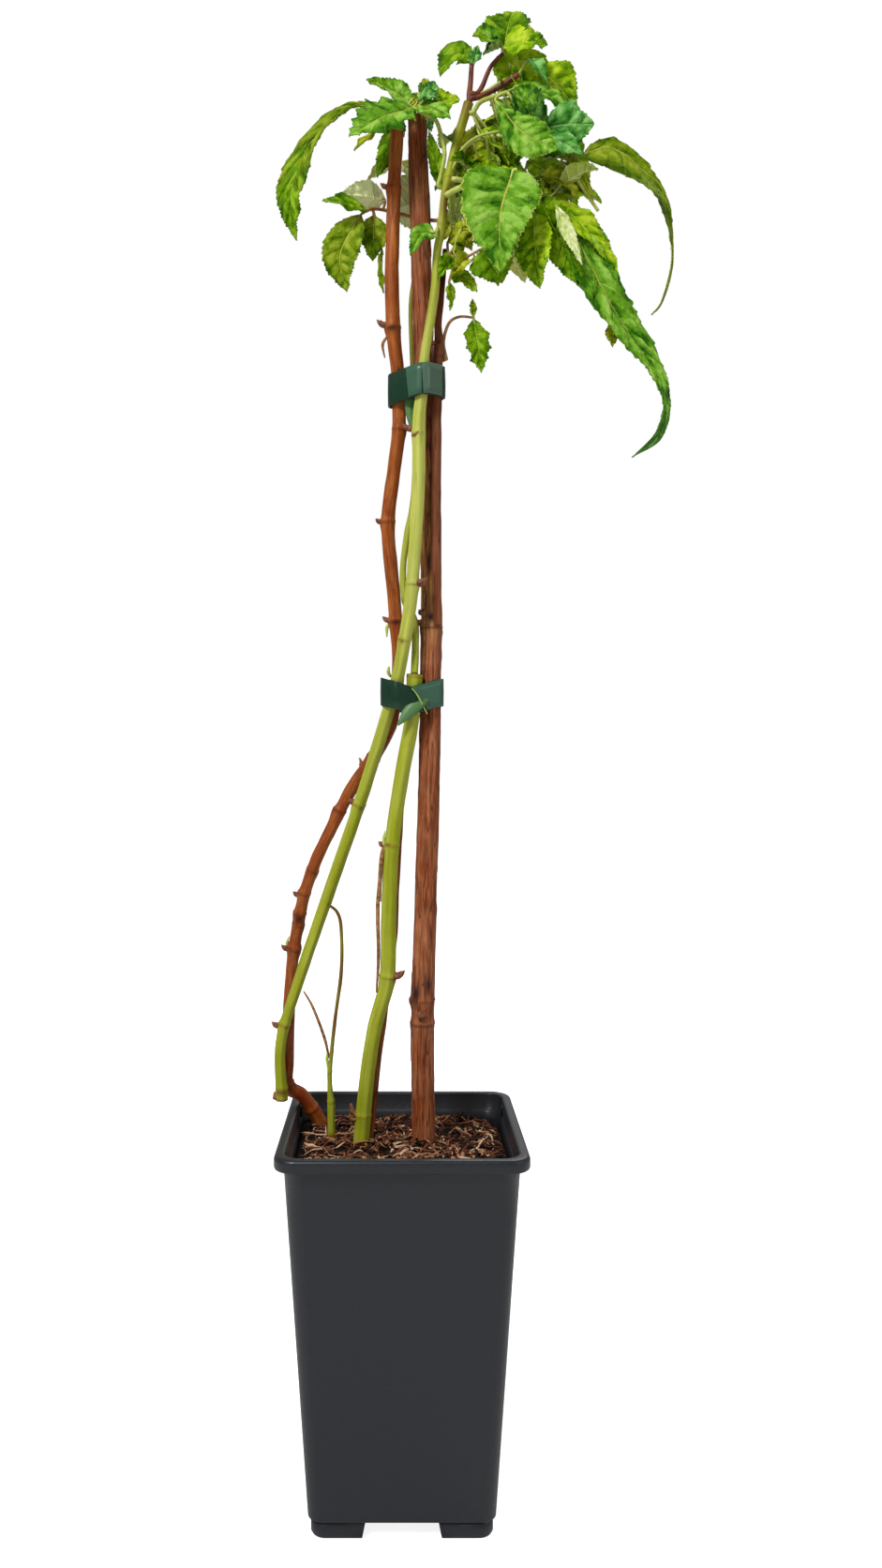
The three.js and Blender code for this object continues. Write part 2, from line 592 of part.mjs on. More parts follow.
// ---------------------------------------------------------------- canes and ties
function caneCurve(name) {
  return smooth(CANES[name].map(([x, y, z]) => [x, y, z]));
}

function caneRadius(name, t) {
  const stations = CANES[name];
  const place = THREE.MathUtils.clamp(t, 0, 1) * (stations.length - 1);
  const index = Math.min(Math.floor(place), stations.length - 2);
  return THREE.MathUtils.lerp(stations[index][3], stations[index + 1][3], place - index);
}

// Where a cane passes a height: its middle, its direction and its radius there.
function caneAt(name, height) {
  const curve = caneCurve(name);
  let low = 0;
  let high = 1;
  for (let i = 0; i < 24; i++) {
    const half = (low + high) / 2;
    if (curve.getPoint(half).z < height) {
      low = half;
    } else {
      high = half;
    }
  }
  return { middle: curve.getPoint(low), along: curve.getTangent(low), radius: caneRadius(name, low) };
}

function compass(degrees) {
  const angle = THREE.MathUtils.degToRad(degrees);
  return new THREE.Vector3(Math.cos(angle), Math.sin(angle), 0);
}

function cane(name) {
  const curve = caneCurve(name);
  const thick = CANES[name][0][3] > 3;
  const steps = (CANES[name].length - 1) * (LEAFY_CANES.includes(name) ? 2 : 1);
  const level = CANES[name][0][2] === FOOT;
  const solids = [limb(curve, (t) => caneRadius(name, t), steps, thick ? 10 : 7, level)];
  for (const [height, degrees, length, radius] of BUDS[name] ?? []) {
    const { middle, radius: bark } = caneAt(name, height);
    const out = compass(degrees);
    const path = [middle.clone(), middle.clone().addScaledVector(out, bark + length * 0.6),
      middle.clone().addScaledVector(out, bark + length).add(new THREE.Vector3(0, 0, length * 0.6))];
    const curveOut = new THREE.CatmullRomCurve3(path, false, 'catmullrom');
    solids.push(limb(curveOut, (t) => radius * (1 - 0.7 * t), 2, BUD_SIDES));
  }
  return fuse(solids);
}

// The line that a taut band takes round a bundle of canes, `clearance` away from their bark.
function bandLine(circles, clearance) {
  return Array.from({ length: TIE_SIDES }, (_, k) => {
    const out = compass((360 * k) / TIE_SIDES);
    const reach = (circle) => circle.middle.x * out.x + circle.middle.y * out.y + circle.radius;
    const outermost = circles.reduce((best, circle) => (reach(circle) > reach(best) ? circle : best));
    return outermost.middle.clone().addScaledVector(out, outermost.radius + clearance);
  });
}

// A flat band round the canes as they stand between the two heights of its `window`. It dips to a
// crease at `foldAt`, or leans.
function tie({ middle, height, window, fold, foldAt, lean }) {
  const circles = [];
  const [low, high] = window;
  for (const name of Object.keys(CANES)) {
    const [foot, top] = [CANES[name][0][2], CANES[name].at(-1)[2]];
    for (let step = 0; step <= TIE_STEPS; step += 1) {
      const z = THREE.MathUtils.lerp(low, high, step / TIE_STEPS);
      if (z >= foot && z <= top) {
        circles.push(caneAt(name, z));
      }
    }
  }
  const ring = (clearance, rise) => bandLine(circles, clearance).map((point) => {
    const dip = fold * Math.abs(point.x - foldAt) + lean * (point.x - foldAt);
    return new THREE.Vector3(point.x, point.y, middle + rise + dip);
  });
  const half = height / 2;
  const near = GAP + 0.1;
  return loft([
    ring(near + TIE_SKIN, -half),
    ring(near + TIE_SKIN, half),
    ring(near, half),
    ring(near, -half),
  ], true);
}

// ---------------------------------------------------------------- leaves
// How wide a leaf is at a place along its midrib, as a part of its full width.
function outline(place, peak, taper) {
  const power = Math.log(0.5) / Math.log(peak);
  const along = THREE.MathUtils.clamp(place, 0, 1) ** power;
  const width = Math.max(Math.sin(Math.PI * along), 0) ** 0.8;
  return along > 0.5 ? width ** taper : width;
}

// Half of the blade's width on one side, at a place along it.
function halfWidth(blade, along, place, sign) {
  const { width, peak = 0.42, taper = 1, strip = 0, uneven = 0 } = blade;
  const least = strip * Math.min(1, (1 - along) / STRIP_END);
  const half = Math.max((width / 2) * outline(place, peak, taper), least);
  return Math.max(half * (1 + uneven * sign), LEAF_EDGE);
}

function ribCurve({ rib, facing, arch = 0 }) {
  if (rib.length > 2) {
    return smooth(rib);
  }
  const [base, tip] = rib.map(vector);
  const chord = tip.clone().sub(base);
  const up = vector(facing);
  up.addScaledVector(chord, -up.dot(chord) / chord.lengthSq()).normalize();
  const middle = base.clone().lerp(tip, 0.5).addScaledVector(up, arch * chord.length());
  return new THREE.CatmullRomCurve3([base, middle, tip], false, 'catmullrom');
}

// A place on the blade, `along` its midrib (0 to 1) and `across` it (-1 to 1), with the blade's
// normal there. The rows of the blade slant towards its tip, as the side veins do.
function bladePoint(blade, along, across) {
  const { curve, facing, turned = facing, fold = 0, curl = 0 } = blade;
  const slant = SLANT * Math.sin(Math.PI * along);
  const place = Math.min(along + slant * Math.abs(across), 1);
  const half = halfWidth(blade, along, along + slant, Math.sign(across));
  const forward = curve.getTangent(place);
  const up = vector(facing).lerp(vector(turned), place);
  up.addScaledVector(forward, -up.dot(forward)).normalize();
  const side = forward.clone().cross(up).multiplyScalar(Math.sign(across) || 1);
  const angle = across === 0 ? 0 : THREE.MathUtils.degToRad(fold + (curl * Math.abs(across)) / 2);
  const point = curve.getPoint(place)
    .addScaledVector(side, half * Math.abs(across) * Math.cos(angle))
    .addScaledVector(up, half * Math.abs(across) * Math.sin(angle));
  const normal = up.multiplyScalar(Math.cos(angle)).addScaledVector(side, -Math.sin(angle));
  return { point, normal };
}

function bladeSolid(blade) {
  const length = blade.curve.getLength();
  const rows = THREE.MathUtils.clamp(Math.round(length / LEAF_ROW), 4, 14);
  const columns = length > LONG_LEAF ? [-1, -0.55, 0, 0.55, 1] : [-1, 0, 1];
  const skin = Math.max(LEAF_SKIN, length / LEAF_SLENDER);
  const rings = [];
  for (let i = 0; i <= rows; i++) {
    const places = columns.map((across) => bladePoint(blade, i / rows, across));
    const top = places.map(({ point, normal }) => point.clone().addScaledVector(normal, skin / 2));
    const under = places.map(({ point, normal }) => point.clone().addScaledVector(normal, -skin / 2));
    rings.push([...top, ...under.reverse()]);
  }
  return loft(rings);
}

// The nearest place to a point on any of the curves.
function nearest(curves, target) {
  const places = curves.flatMap((curve) => curve.getPoints(24));
  return places.reduce((best, place) => (
    place.distanceToSquared(target) < best.distanceToSquared(target) ? place : best
  ));
}

// A leaf on its stalk, which starts inside the twig and ends inside the blade.
function stalkedLeaf(blade, twigCurves) {
  const base = blade.curve.getPoint(0);
  const root = nearest(twigCurves, base);
  const sunk = blade.curve.getPoint(0.1);
  const points = root.distanceTo(base) > 1 ? [root, base, sunk] : [root, sunk];
  const stalk = new THREE.CatmullRomCurve3(points, false, 'catmullrom');
  const radiusAt = (t) => THREE.MathUtils.lerp(STALK.root, STALK.end, t);
  return [limb(stalk, radiusAt, STALK.steps, STALK.sides), bladeSolid(blade)];
}

// The first points of a mass's stem, which starts a gap away from its cane.
function stemStart({ cane: name, height, angle }) {
  if (angle === undefined) {
    const { middle, along } = caneAt(name, CANES[name].at(-1)[2]);
    return [middle.clone().addScaledVector(along, GAP), middle.clone().addScaledVector(along, 1.5)];
  }
  const { middle, along, radius } = caneAt(name, height);
  const out = compass(angle);
  out.addScaledVector(along, -out.dot(along)).normalize();
  return [
    middle.clone().addScaledVector(out, radius + GAP),
    middle.clone().addScaledVector(out, radius + GAP + 1.5),
  ];
}

function twigCurve(path, start = []) {
  return new THREE.CatmullRomCurve3([...start, ...path.map(vector)], false, 'catmullrom');
}

function twigSolid(curve, [root, end]) {
  const steps = THREE.MathUtils.clamp(Math.round(curve.getLength() / 7), 2, 8);
  return limb(curve, (t) => THREE.MathUtils.lerp(root, end, t), steps, TWIG_SIDES);
}

function foliage({ from, twigs, leaves }) {
  const root = stemStart(from);
  const curves = twigs.map(({ path }, i) => twigCurve(path, i === 0 ? root : []));
  const branches = twigs.slice(1).map(({ path }, i) => nearest([curves[0]], vector(path[0])));
  branches.forEach((place, i) => {
    curves[i + 1] = twigCurve(twigs[i + 1].path, [place]);
  });
  const wood = curves.map((curve, i) => twigSolid(curve, twigs[i].radius));
  const blades = leaves.map((row) => ({ ...row, curve: ribCurve(row) }));
  return fuse([...wood, ...blades.flatMap((blade) => stalkedLeaf(blade, curves))]);
}

// ---------------------------------------------------------------- seeded foliage
function seededRandom(seed) {
  let state = seed;
  return () => {
    state = (Math.imul(state, 1664525) + 1013904223) >>> 0;
    return state / 2 ** 32;
  };
}

function inside(space, point) {
  const [x, y, z] = point.toArray().map((value, i) => (value - space.centre[i]) / space.half[i]);
  return x * x + y * y + z * z < 1;
}

function clearOfCanes(point) {
  return Object.keys(CANES).every((name) => {
    if (point.z < CANES[name][0][2] || point.z > CANES[name].at(-1)[2] + LIMB_CLEARANCE) {
      return true;
    }
    const { middle, radius } = caneAt(name, point.z);
    return Math.hypot(point.x - middle.x, point.y - middle.y) > radius + LIMB_CLEARANCE;
  });
}

function fits(blade, space) {
  for (let i = 0; i <= 6; i++) {
    for (const across of [-1, 0, 1]) {
      const { point } = bladePoint(blade, i / 6, across);
      if (!inside(space, point) || !clearOfCanes(point)) {
        return false;
      }
    }
  }
  return true;
}

function slope(azimuth, rise) {
  return new THREE.Vector3(
    Math.cos(rise) * Math.cos(azimuth),
    Math.cos(rise) * Math.sin(azimuth),
    Math.sin(rise),
  );
}

// Three leaflets at the end of a stalk: one straight on and one to each side, all drooping.
function spray(root, tip, azimuth, leaflet, random) {
  const back = root.clone().sub(tip).normalize();
  return [0, -1, 1].map((turn) => {
    const heading = azimuth + turn * 1.1 + (random() - 0.5) * 0.4;
    const droop = -0.35 - 0.6 * random();
    const length = leaflet * (turn === 0 ? 1 : 0.8) * (0.85 + 0.3 * random());
    const base = tip.clone().addScaledVector(back, turn === 0 ? 1.2 : 2.4);
    const end = base.clone().addScaledVector(slope(heading, droop), length);
    const facing = slope(heading, droop + Math.PI / 2).toArray();
    const rib = [base.toArray(), end.toArray()];
    const blade = { rib, facing, width: length * LEAFLET_WIDTH, arch: 0.08, fold: 12 };
    return { ...blade, curve: ribCurve(blade) };
  });
}

function seededFoliage({ from, stem, space, sprays, petiole, leaflet, seed }) {
  const random = seededRandom(seed);
  const stemCurve = twigCurve(stem.path, stemStart(from));
  const solids = [twigSolid(stemCurve, stem.radius)];
  for (let i = 0; i < sprays; i++) {
    const root = stemCurve.getPoint(THREE.MathUtils.lerp(0.45, 1, i / (sprays - 1)));
    const azimuth = i * GOLDEN_ANGLE + (random() - 0.5) * 0.6;
    const rise = -0.3 + 1.2 * random();
    const tip = root.clone().addScaledVector(slope(azimuth, rise), petiole * (0.7 + 0.6 * random()));
    const blades = spray(root, tip, azimuth, leaflet, random).filter((blade) => fits(blade, space));
    if (blades.length > 0) {
      const stalk = new THREE.LineCurve3(root, tip);
      solids.push(limb(stalk, (t) => THREE.MathUtils.lerp(0.7, 0.5, t), 1, TWIG_SIDES));
      solids.push(...blades.map(bladeSolid));
    }
  }
  return fuse(solids);
}

// ---------------------------------------------------------------- the plant in its pot
function piece(name, geometry, color, roughness = 0.7) {
  const mesh = new THREE.Mesh(geometry, new THREE.MeshStandardMaterial({ color, roughness }));
  mesh.name = name;
  return mesh;
}

const layout = new THREE.Group();
layout.add(piece('pot', fuse([potShell(), potFeet()]), COLOURS.pot, 0.45));
layout.add(piece('compost', compost(), COLOURS.compost, 0.95));
for (const name of Object.keys(CANES)) {
  layout.add(piece(name, cane(name), COLOURS[name]));
}
for (const [name, band] of Object.entries(TIES)) {
  layout.add(piece(name, tie(band), COLOURS.tie, 0.5));
}
for (const [name, mass] of Object.entries(MASSES)) {
  layout.add(piece(name, foliage(mass), COLOURS.foliage));
}
for (const [name, mass] of Object.entries(SEEDED_MASSES)) {
  layout.add(piece(name, seededFoliage(mass), COLOURS.foliage));
}

const middle = new THREE.Box3().setFromObject(layout).getCenter(new THREE.Vector3());
layout.position.set(-middle.x, -middle.y, 0);

const plant = new THREE.Group();
plant.add(layout);
plant.updateMatrixWorld(true);

export default plant;
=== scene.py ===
"""Dresses the raspberry plant in its square pot: bark, leaves, ties, compost and moulded plastic.

Lengths are in millimetres round the pot's upright axis, +Y to the back and +Z up, and turn into
the frame's metres when a mesh is made. Leaves and twigs follow the same rule as the solids.
"""

import logging
import math
from collections.abc import Iterable
from dataclasses import dataclass, field
from enum import Enum

import bpy
import numpy as np
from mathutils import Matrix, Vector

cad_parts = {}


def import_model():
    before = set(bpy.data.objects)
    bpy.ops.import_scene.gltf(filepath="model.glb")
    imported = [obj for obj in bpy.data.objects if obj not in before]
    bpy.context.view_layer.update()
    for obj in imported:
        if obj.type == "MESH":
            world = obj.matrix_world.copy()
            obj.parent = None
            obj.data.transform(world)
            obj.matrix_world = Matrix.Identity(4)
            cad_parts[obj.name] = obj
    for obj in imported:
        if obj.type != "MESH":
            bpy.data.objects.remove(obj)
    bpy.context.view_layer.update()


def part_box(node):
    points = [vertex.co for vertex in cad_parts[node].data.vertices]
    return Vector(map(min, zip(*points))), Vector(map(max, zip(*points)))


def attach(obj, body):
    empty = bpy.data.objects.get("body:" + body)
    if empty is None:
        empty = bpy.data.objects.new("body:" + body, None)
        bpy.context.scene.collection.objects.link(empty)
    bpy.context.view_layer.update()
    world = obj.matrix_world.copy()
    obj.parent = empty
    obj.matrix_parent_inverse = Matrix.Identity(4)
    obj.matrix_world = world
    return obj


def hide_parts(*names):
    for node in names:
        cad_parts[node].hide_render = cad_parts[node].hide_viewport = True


logging.basicConfig(level=logging.INFO, format="%(message)s")
LOG = logging.getLogger("raspberry_plant")

Array = np.ndarray
Place = tuple[float, float, float]
Four = tuple[float, float, float, float]
fixed = dataclass(frozen=True)

GAP = 0.3
GOLDEN_ANGLE = math.radians(137.5)
UPRIGHT = np.array((0.0, 0.0, 1.0))
FIRST_ACROSS = (0.31, 0.95, 0.05)


# -------- numbers and lines
def linear(code: str) -> Four:
    """Turns a display colour code into scene-linear colour.

    Args:
        code: Six hexadecimal digits.

    Returns:
        Red, green, blue and 1 for alpha.
    """
    parts = [int(code[i : i + 2], 16) / 255 for i in (0, 2, 4)]
    return (*(p / 12.92 if p <= 0.04045 else ((p + 0.055) / 1.055) ** 2.4 for p in parts), 1.0)


def unit(vectors: Array) -> Array:
    """Scales vectors to length 1, along their last axis."""
    return vectors / np.maximum(np.linalg.norm(vectors, axis=-1, keepdims=True), 1e-12)


def blend(low: float, high: float, part: float | Array) -> float | Array:
    """Goes from low to high as part goes from 0 to 1."""
    return low + (high - low) * part


def soft_step(low: float, high: float, value: Array) -> Array:
    """Rises smoothly from 0 at low to 1 at high."""
    part = np.clip((value - low) / (high - low), 0, 1)
    return part * part * (3 - 2 * part)


def value_noise(places: Array, seed: int = 0) -> Array:
    """Smooth noise on a lattice of unit cells.

    Args:
        places: Points, three numbers each along the last axis.
        seed: Picks another field.

    Returns:
        One number from -1 to 1 for each point.
    """
    base = np.floor(places).astype(np.int64)
    part = places - base
    ease = part * part * (3 - 2 * part)
    total = np.zeros(places.shape[:-1])
    for corner in np.ndindex(2, 2, 2):
        cell = base + np.array(corner)
        code = cell[..., 0] * 374761393 + cell[..., 1] * 668265263 + cell[..., 2] * 1442695041
        code = (code + seed * 1274126177) & 0xFFFFFFFF
        code = ((code ^ (code >> 13)) * 1274126177) & 0xFFFFFFFF
        value = ((code ^ (code >> 16)) & 0xFFFF) / 32767.5 - 1
        weight = np.prod(np.where(np.array(corner) == 1, ease, 1 - ease), axis=-1)
        total += value * weight
    return total


def seed_of(name: str) -> int:
    """A number that a name always gives."""
    return sum(ord(letter) * (i + 7) for i, letter in enumerate(name))


class Draws:
    """The solids' own row of random numbers."""

    def __init__(self, seed: int) -> None:
        """Starts the row at a seed."""
        self.state = seed

    def next(self) -> float:
        """The next number, from 0 to 1."""
        self.state = (self.state * 1664525 + 1013904223) % 2**32
        return self.state / 2**32


def running(points: Array) -> Array:
    """How far along a line each of its points is."""
    return np.r_[0, np.cumsum(np.linalg.norm(np.diff(points, axis=0), axis=1))]


class Line:
    """A smooth line through points, the same as the solids' lines."""

    def __init__(self, points: list | Array) -> None:
        """Takes two or more points."""
        self.points = np.array(points, float)

    def parts(self, t: Array) -> tuple[Array, ...]:
        """The cubic's four coefficients and the place in its span, at each t."""
        count = len(self.points)
        before, after = (2 * self.points[i] - self.points[j] for i, j in ((0, 1), (-1, -2)))
        ghosts = np.vstack((before, self.points, after))
        place = np.clip(np.asarray(t, float), 0, 1) * (count - 1)
        span = np.minimum(np.floor(place).astype(int), count - 2)
        w = (place - span)[..., None]
        a, b, c, d = (ghosts[span + k] for k in range(4))
        start, end = (c - a) / 2, (d - b) / 2
        return b, start, 3 * (c - b) - 2 * start - end, 2 * (b - c) + start + end, w

    def at(self, t: float | Array) -> Array:
        """Points at places from 0 to 1."""
        c0, c1, c2, c3, w = self.parts(np.asarray(t, float))
        return c0 + c1 * w + c2 * w**2 + c3 * w**3

    def way(self, t: float | Array) -> Array:
        """Directions at places from 0 to 1."""
        _, c1, c2, c3, w = self.parts(np.asarray(t, float))
        return unit(c1 + 2 * c2 * w + 3 * c3 * w**2)

    def length(self) -> float:
        """The line's length."""
        spots = self.at(np.linspace(0, 1, 201))
        return float(np.linalg.norm(np.diff(spots, axis=0), axis=1).sum())

    def even(self, step: float) -> Array:
        """Places from 0 to 1 that are about one step apart along the line."""
        fine = np.linspace(0, 1, 601)
        runs = running(self.at(fine))
        count = max(int(round(runs[-1] / step)), 2)
        return np.interp(np.linspace(0, runs[-1], count + 1), runs, fine)


def nearest(lines: list[Line], target: Array) -> Array:
    """The nearest of 25 places on each line to a target."""
    spots = np.vstack([line.at(np.linspace(0, 1, 25)) for line in lines])
    return spots[np.argmin(np.linalg.norm(spots - target, axis=1))]


def turns(count: int) -> Array:
    """Angles evenly spread round a full turn."""
    return np.linspace(0, math.tau, count, endpoint=False)


def compass(degrees: float) -> Array:
    """A level direction, anticlockwise from +X."""
    angle = math.radians(degrees)
    return np.array((math.cos(angle), math.sin(angle), 0.0))


# -------- meshes
@dataclass
class Form:
    """Points and faces that gather into one mesh."""

    points: list[Array] = field(default_factory=list)
    lies: list[Array] = field(default_factory=list)
    tints: list[Array] = field(default_factory=list)
    marks: list[Array] = field(default_factory=list)
    corners: list[Array] = field(default_factory=list)
    sizes: list[Array] = field(default_factory=list)
    slots: list[Array] = field(default_factory=list)
    count: int = 0

    def add(
        self, points: Array, faces: list[tuple[Array, int | Array]], lie: Array | None = None,
        tint: Array | float = 0.0, mark: Array | float = 0.0,
    ) -> None:
        """Adds one body.

        Args:
            points: Its points.
            faces: Blocks of faces with the same number of corners, each with its slot or slots.
            lie: Where each point lies on an unrolled surface, for the bark's grain.
            tint: How far each point has its second colour.
            mark: How far each point is scarred.
        """
        flat = points.reshape(-1, 3)
        self.points.append(flat)
        self.lies.append(flat if lie is None else lie.reshape(-1, 3))
        self.tints.append(np.broadcast_to(np.asarray(tint, float).reshape(-1), len(flat)))
        self.marks.append(np.broadcast_to(np.asarray(mark, float).reshape(-1), len(flat)))
        for block, slot in faces:
            block = block.reshape(-1, block.shape[-1])
            self.corners.append((block + self.count).reshape(-1))
            self.sizes.append(np.full(len(block), block.shape[-1]))
            self.slots.append(np.broadcast_to(np.asarray(slot).reshape(-1), len(block)))
        self.count += len(flat)

    def build(
        self, name: str, node: str, slot: str, finishes: Iterable[str], shop: "Workshop",
        smooth: bool = True,
    ) -> None:
        """Makes the mesh in the frame, in place of a node, and reports it.

        Args:
            name: The piece's name.
            node: The node that it stands for.
            slot: The record's slot of its finish; not used.
            finishes: The names of its materials, in the order of the faces' slots.
            shop: Hands out the materials, and knows where the pot stands.
            smooth: Whether its faces are shaded smooth.
        """
        mesh = bpy.data.meshes.new(name)
        points = np.vstack(self.points) / 1000 + shop.axis
        corners = np.concatenate(self.corners).astype(np.int32)
        sizes = np.concatenate(self.sizes)
        starts = np.r_[0, np.cumsum(sizes)[:-1]].astype(np.int32)
        mesh.vertices.add(len(points))
        mesh.vertices.foreach_set("co", points.astype(np.float32).ravel())
        mesh.loops.add(len(corners))
        mesh.loops.foreach_set("vertex_index", corners)
        mesh.polygons.add(len(starts))
        mesh.polygons.foreach_set("loop_start", starts)
        mesh.polygons.foreach_set("material_index", np.concatenate(self.slots).astype(np.int32))
        mesh.polygons.foreach_set("use_smooth", np.full(len(starts), smooth))
        for finish in finishes:
            mesh.materials.append(shop.material(finish))
        lie = mesh.attributes.new("lie", "FLOAT_VECTOR", "POINT")
        lie.data.foreach_set("vector", (np.vstack(self.lies) / 1000).astype(np.float32).ravel())
        for label, values in (("tint", self.tints), ("mark", self.marks)):
            held = mesh.attributes.new(label, "FLOAT", "POINT")
            held.data.foreach_set("value", np.concatenate(values).astype(np.float32))
        mesh.update(calc_edges=True)
        mesh.validate()
        piece = bpy.data.objects.new(name, mesh)
        bpy.context.scene.collection.objects.link(piece)
        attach(piece, "root")
        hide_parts(node)
        LOG.info("%s: %d triangles", name, sum((sizes - 2).sum() for sizes in self.sizes))


def grid_faces(rows: int, columns: int, wrap: bool = False, first: int = 0) -> Array:
    """Quads of a grid of points, wound so that rows x columns faces up along rows."""
    index = np.arange(rows * columns).reshape(rows, columns) + first
    right = np.roll(index, -1, axis=1)
    span = columns if wrap else columns - 1
    return np.stack((index[:-1, :span], right[:-1, :span], right[1:, :span], index[1:, :span]), -1)


def stack(form: Form, rings: Array, slot: int = 0, ends: bool = True, **more: object) -> None:
    """Skins a stack of rings, wound anticlockwise about the way that it runs, and caps its ends.

    Args:
        form: Takes the body.
        rings: Points, rings x places x 3.
        slot: The faces' material slot.
        ends: Whether the two ends are capped.
        more: The points' lie, tint and mark, when they have them.
    """
    count, sides = rings.shape[:2]
    faces = [(grid_faces(count, sides, wrap=True), slot)]
    points = rings.reshape(-1, 3)
    if ends:
        points = np.vstack((points, rings[0].mean(0), rings[-1].mean(0)))
        around = np.arange(sides)
        after = (around + 1) % sides
        low, high, last = count * sides, count * sides + 1, (count - 1) * sides
        faces.append((np.stack((np.full(sides, low), after, around), -1), slot))
        faces.append((np.stack((np.full(sides, high), last + around, last + after), -1), slot))
        for key in ("lie", "tint", "mark"):
            held = more.get(key)
            if isinstance(held, Array):
                ring = held.reshape(count, sides, -1)
                more[key] = np.vstack((ring.reshape(-1, ring.shape[-1]), ring[0, :1], ring[-1, :1]))
    form.add(points, faces, **more)


def cross_frames(ways: Array) -> tuple[Array, Array]:
    """Carries a cross-section along directions without twist.

    Args:
        ways: The directions.

    Returns:
        Two vectors across each direction.
    """
    across = np.array(FIRST_ACROSS)
    first, second = [], []
    for way in ways:
        across = unit(across - way * (across @ way))
        first.append(across)
        second.append(np.cross(way, across))
    return np.array(first), np.array(second)


def tube(form: Form, line: Line, radius: tuple[float, ...], sides: int, step: float, slot: int) -> None:
    """Adds a round limb.

    Args:
        form: Takes the limb.
        line: Its middle.
        radius: Its radii, evenly spread along it.
        sides: How many sides it has.
        step: The length of its pieces.
        slot: The faces' material slot.
    """
    t = line.even(step)
    ways = line.way(t)
    first, second = cross_frames(ways)
    angle = turns(sides)[None, :, None]
    size = np.interp(t, np.linspace(0, 1, len(radius)), radius)[:, None, None]
    out = np.cos(angle) * first[:, None] + np.sin(angle) * second[:, None]
    stack(form, line.at(t)[:, None] + out * size, slot)


# -------- shader groups
Socket = bpy.types.NodeSocket
Tree = bpy.types.NodeTree
Amount = Socket | float


def new_group(name: str, inputs: dict[str, float], outputs: tuple[str, ...]):
    """Starts a shader node group whose sockets are plain numbers.

    Args:
        name: Its name.
        inputs: The default of each input by name.
        outputs: The name of each output.

    Returns:
        The group and its input and output nodes.
    """
    group = bpy.data.node_groups.new(name, "ShaderNodeTree")
    for label, value in inputs.items():
        socket = group.interface.new_socket(name=label, in_out="INPUT", socket_type="NodeSocketFloat")
        socket.default_value = value
    for label in outputs:
        group.interface.new_socket(name=label, in_out="OUTPUT", socket_type="NodeSocketFloat")
    return group, group.nodes.new("NodeGroupInput"), group.nodes.new("NodeGroupOutput")


def put(node: bpy.types.Node, values: dict[str | int, object]) -> bpy.types.Node:
    """Fills a node's inputs: with a link where the value is another node's output.

    Args:
        node: The node.
        values: A value or an output for each input, by name or place.

    Returns:
        The same node.
    """
    for key, value in values.items():
        if isinstance(value, Socket):
            node.id_data.links.new(value, node.inputs[key])
        else:
            node.inputs[key].default_value = value
    return node


def noise(tree: Tree, place: Socket, scale: Amount, detail: float, rough: float = 0.55) -> Socket:
    """A noise texture's value."""
    made = tree.nodes.new("ShaderNodeTexNoise")
    return put(made, {"Vector": place, "Scale": scale, "Detail": detail, "Roughness": rough}).outputs["Fac"]


def remap(value: Socket, low: float, high: float, out_low: Amount, out_high: Amount) -> Socket:
    """Maps one range of values to another."""
    made = put(value.id_data.nodes.new("ShaderNodeMapRange"), {"Value": value})
    put(made, {"From Min": low, "From Max": high, "To Min": out_low, "To Max": out_high})
    return made.outputs["Result"]


def work_out(operation: str, *values: Amount) -> Socket:
    """Does a sum on values, of which the first is an output."""
    made = values[0].id_data.nodes.new("ShaderNodeMath")
    made.operation = operation
    return put(made, dict(enumerate(values))).outputs["Value"]


def stretched(place: Socket, sizes: Socket | Place) -> Socket:
    """Multiplies a place by three sizes."""
    made = place.id_data.nodes.new("ShaderNodeVectorMath")
    made.operation = "MULTIPLY"
    return put(made, {0: place, 1: sizes}).outputs["Vector"]


def mix(share: Socket, first: Socket | Four, second: Four) -> Socket:
    """Mixes two colours by a share."""
    made = share.id_data.nodes.new("ShaderNodeMix")
    made.data_type = "RGBA"
    return put(made, {"Factor": share, "A": first, "B": second}).outputs["Result"]


def bump(height: Socket, distance: float, strength: float) -> Socket:
    """The normal that a height gives."""
    made = height.id_data.nodes.new("ShaderNodeBump")
    return put(made, {"Strength": strength, "Distance": distance, "Height": height}).outputs["Normal"]


def attribute(tree: Tree, name: str, output: str = "Fac") -> Socket:
    """A value that the mesh carries."""
    made = tree.nodes.new("ShaderNodeAttribute")
    made.attribute_name = name
    return made.outputs[output]


def make_quilt() -> Tree:
    """Small pillows between sunken lines, as on a crinkled leaf: a height and a roughness."""
    group, entry, leave = new_group("Leaf quilt", {"Scale": 420, "Fine": 0.35}, ("Height", "Roughness"))
    spot = group.nodes.new("ShaderNodeTexCoord").outputs["Object"]
    cells = group.nodes.new("ShaderNodeTexVoronoi")
    put(cells, {"Vector": spot, "Scale": entry.outputs["Scale"]})
    fine = noise(group, spot, 1500, 3)
    pillow = remap(cells.outputs["Distance"], 0, 0.75, 1, 0)
    height = work_out("MULTIPLY_ADD", fine, entry.outputs["Fine"], pillow)
    put(leave, {"Height": height, "Roughness": remap(fine, 0.3, 0.7, 0.42, 0.62)})
    return group


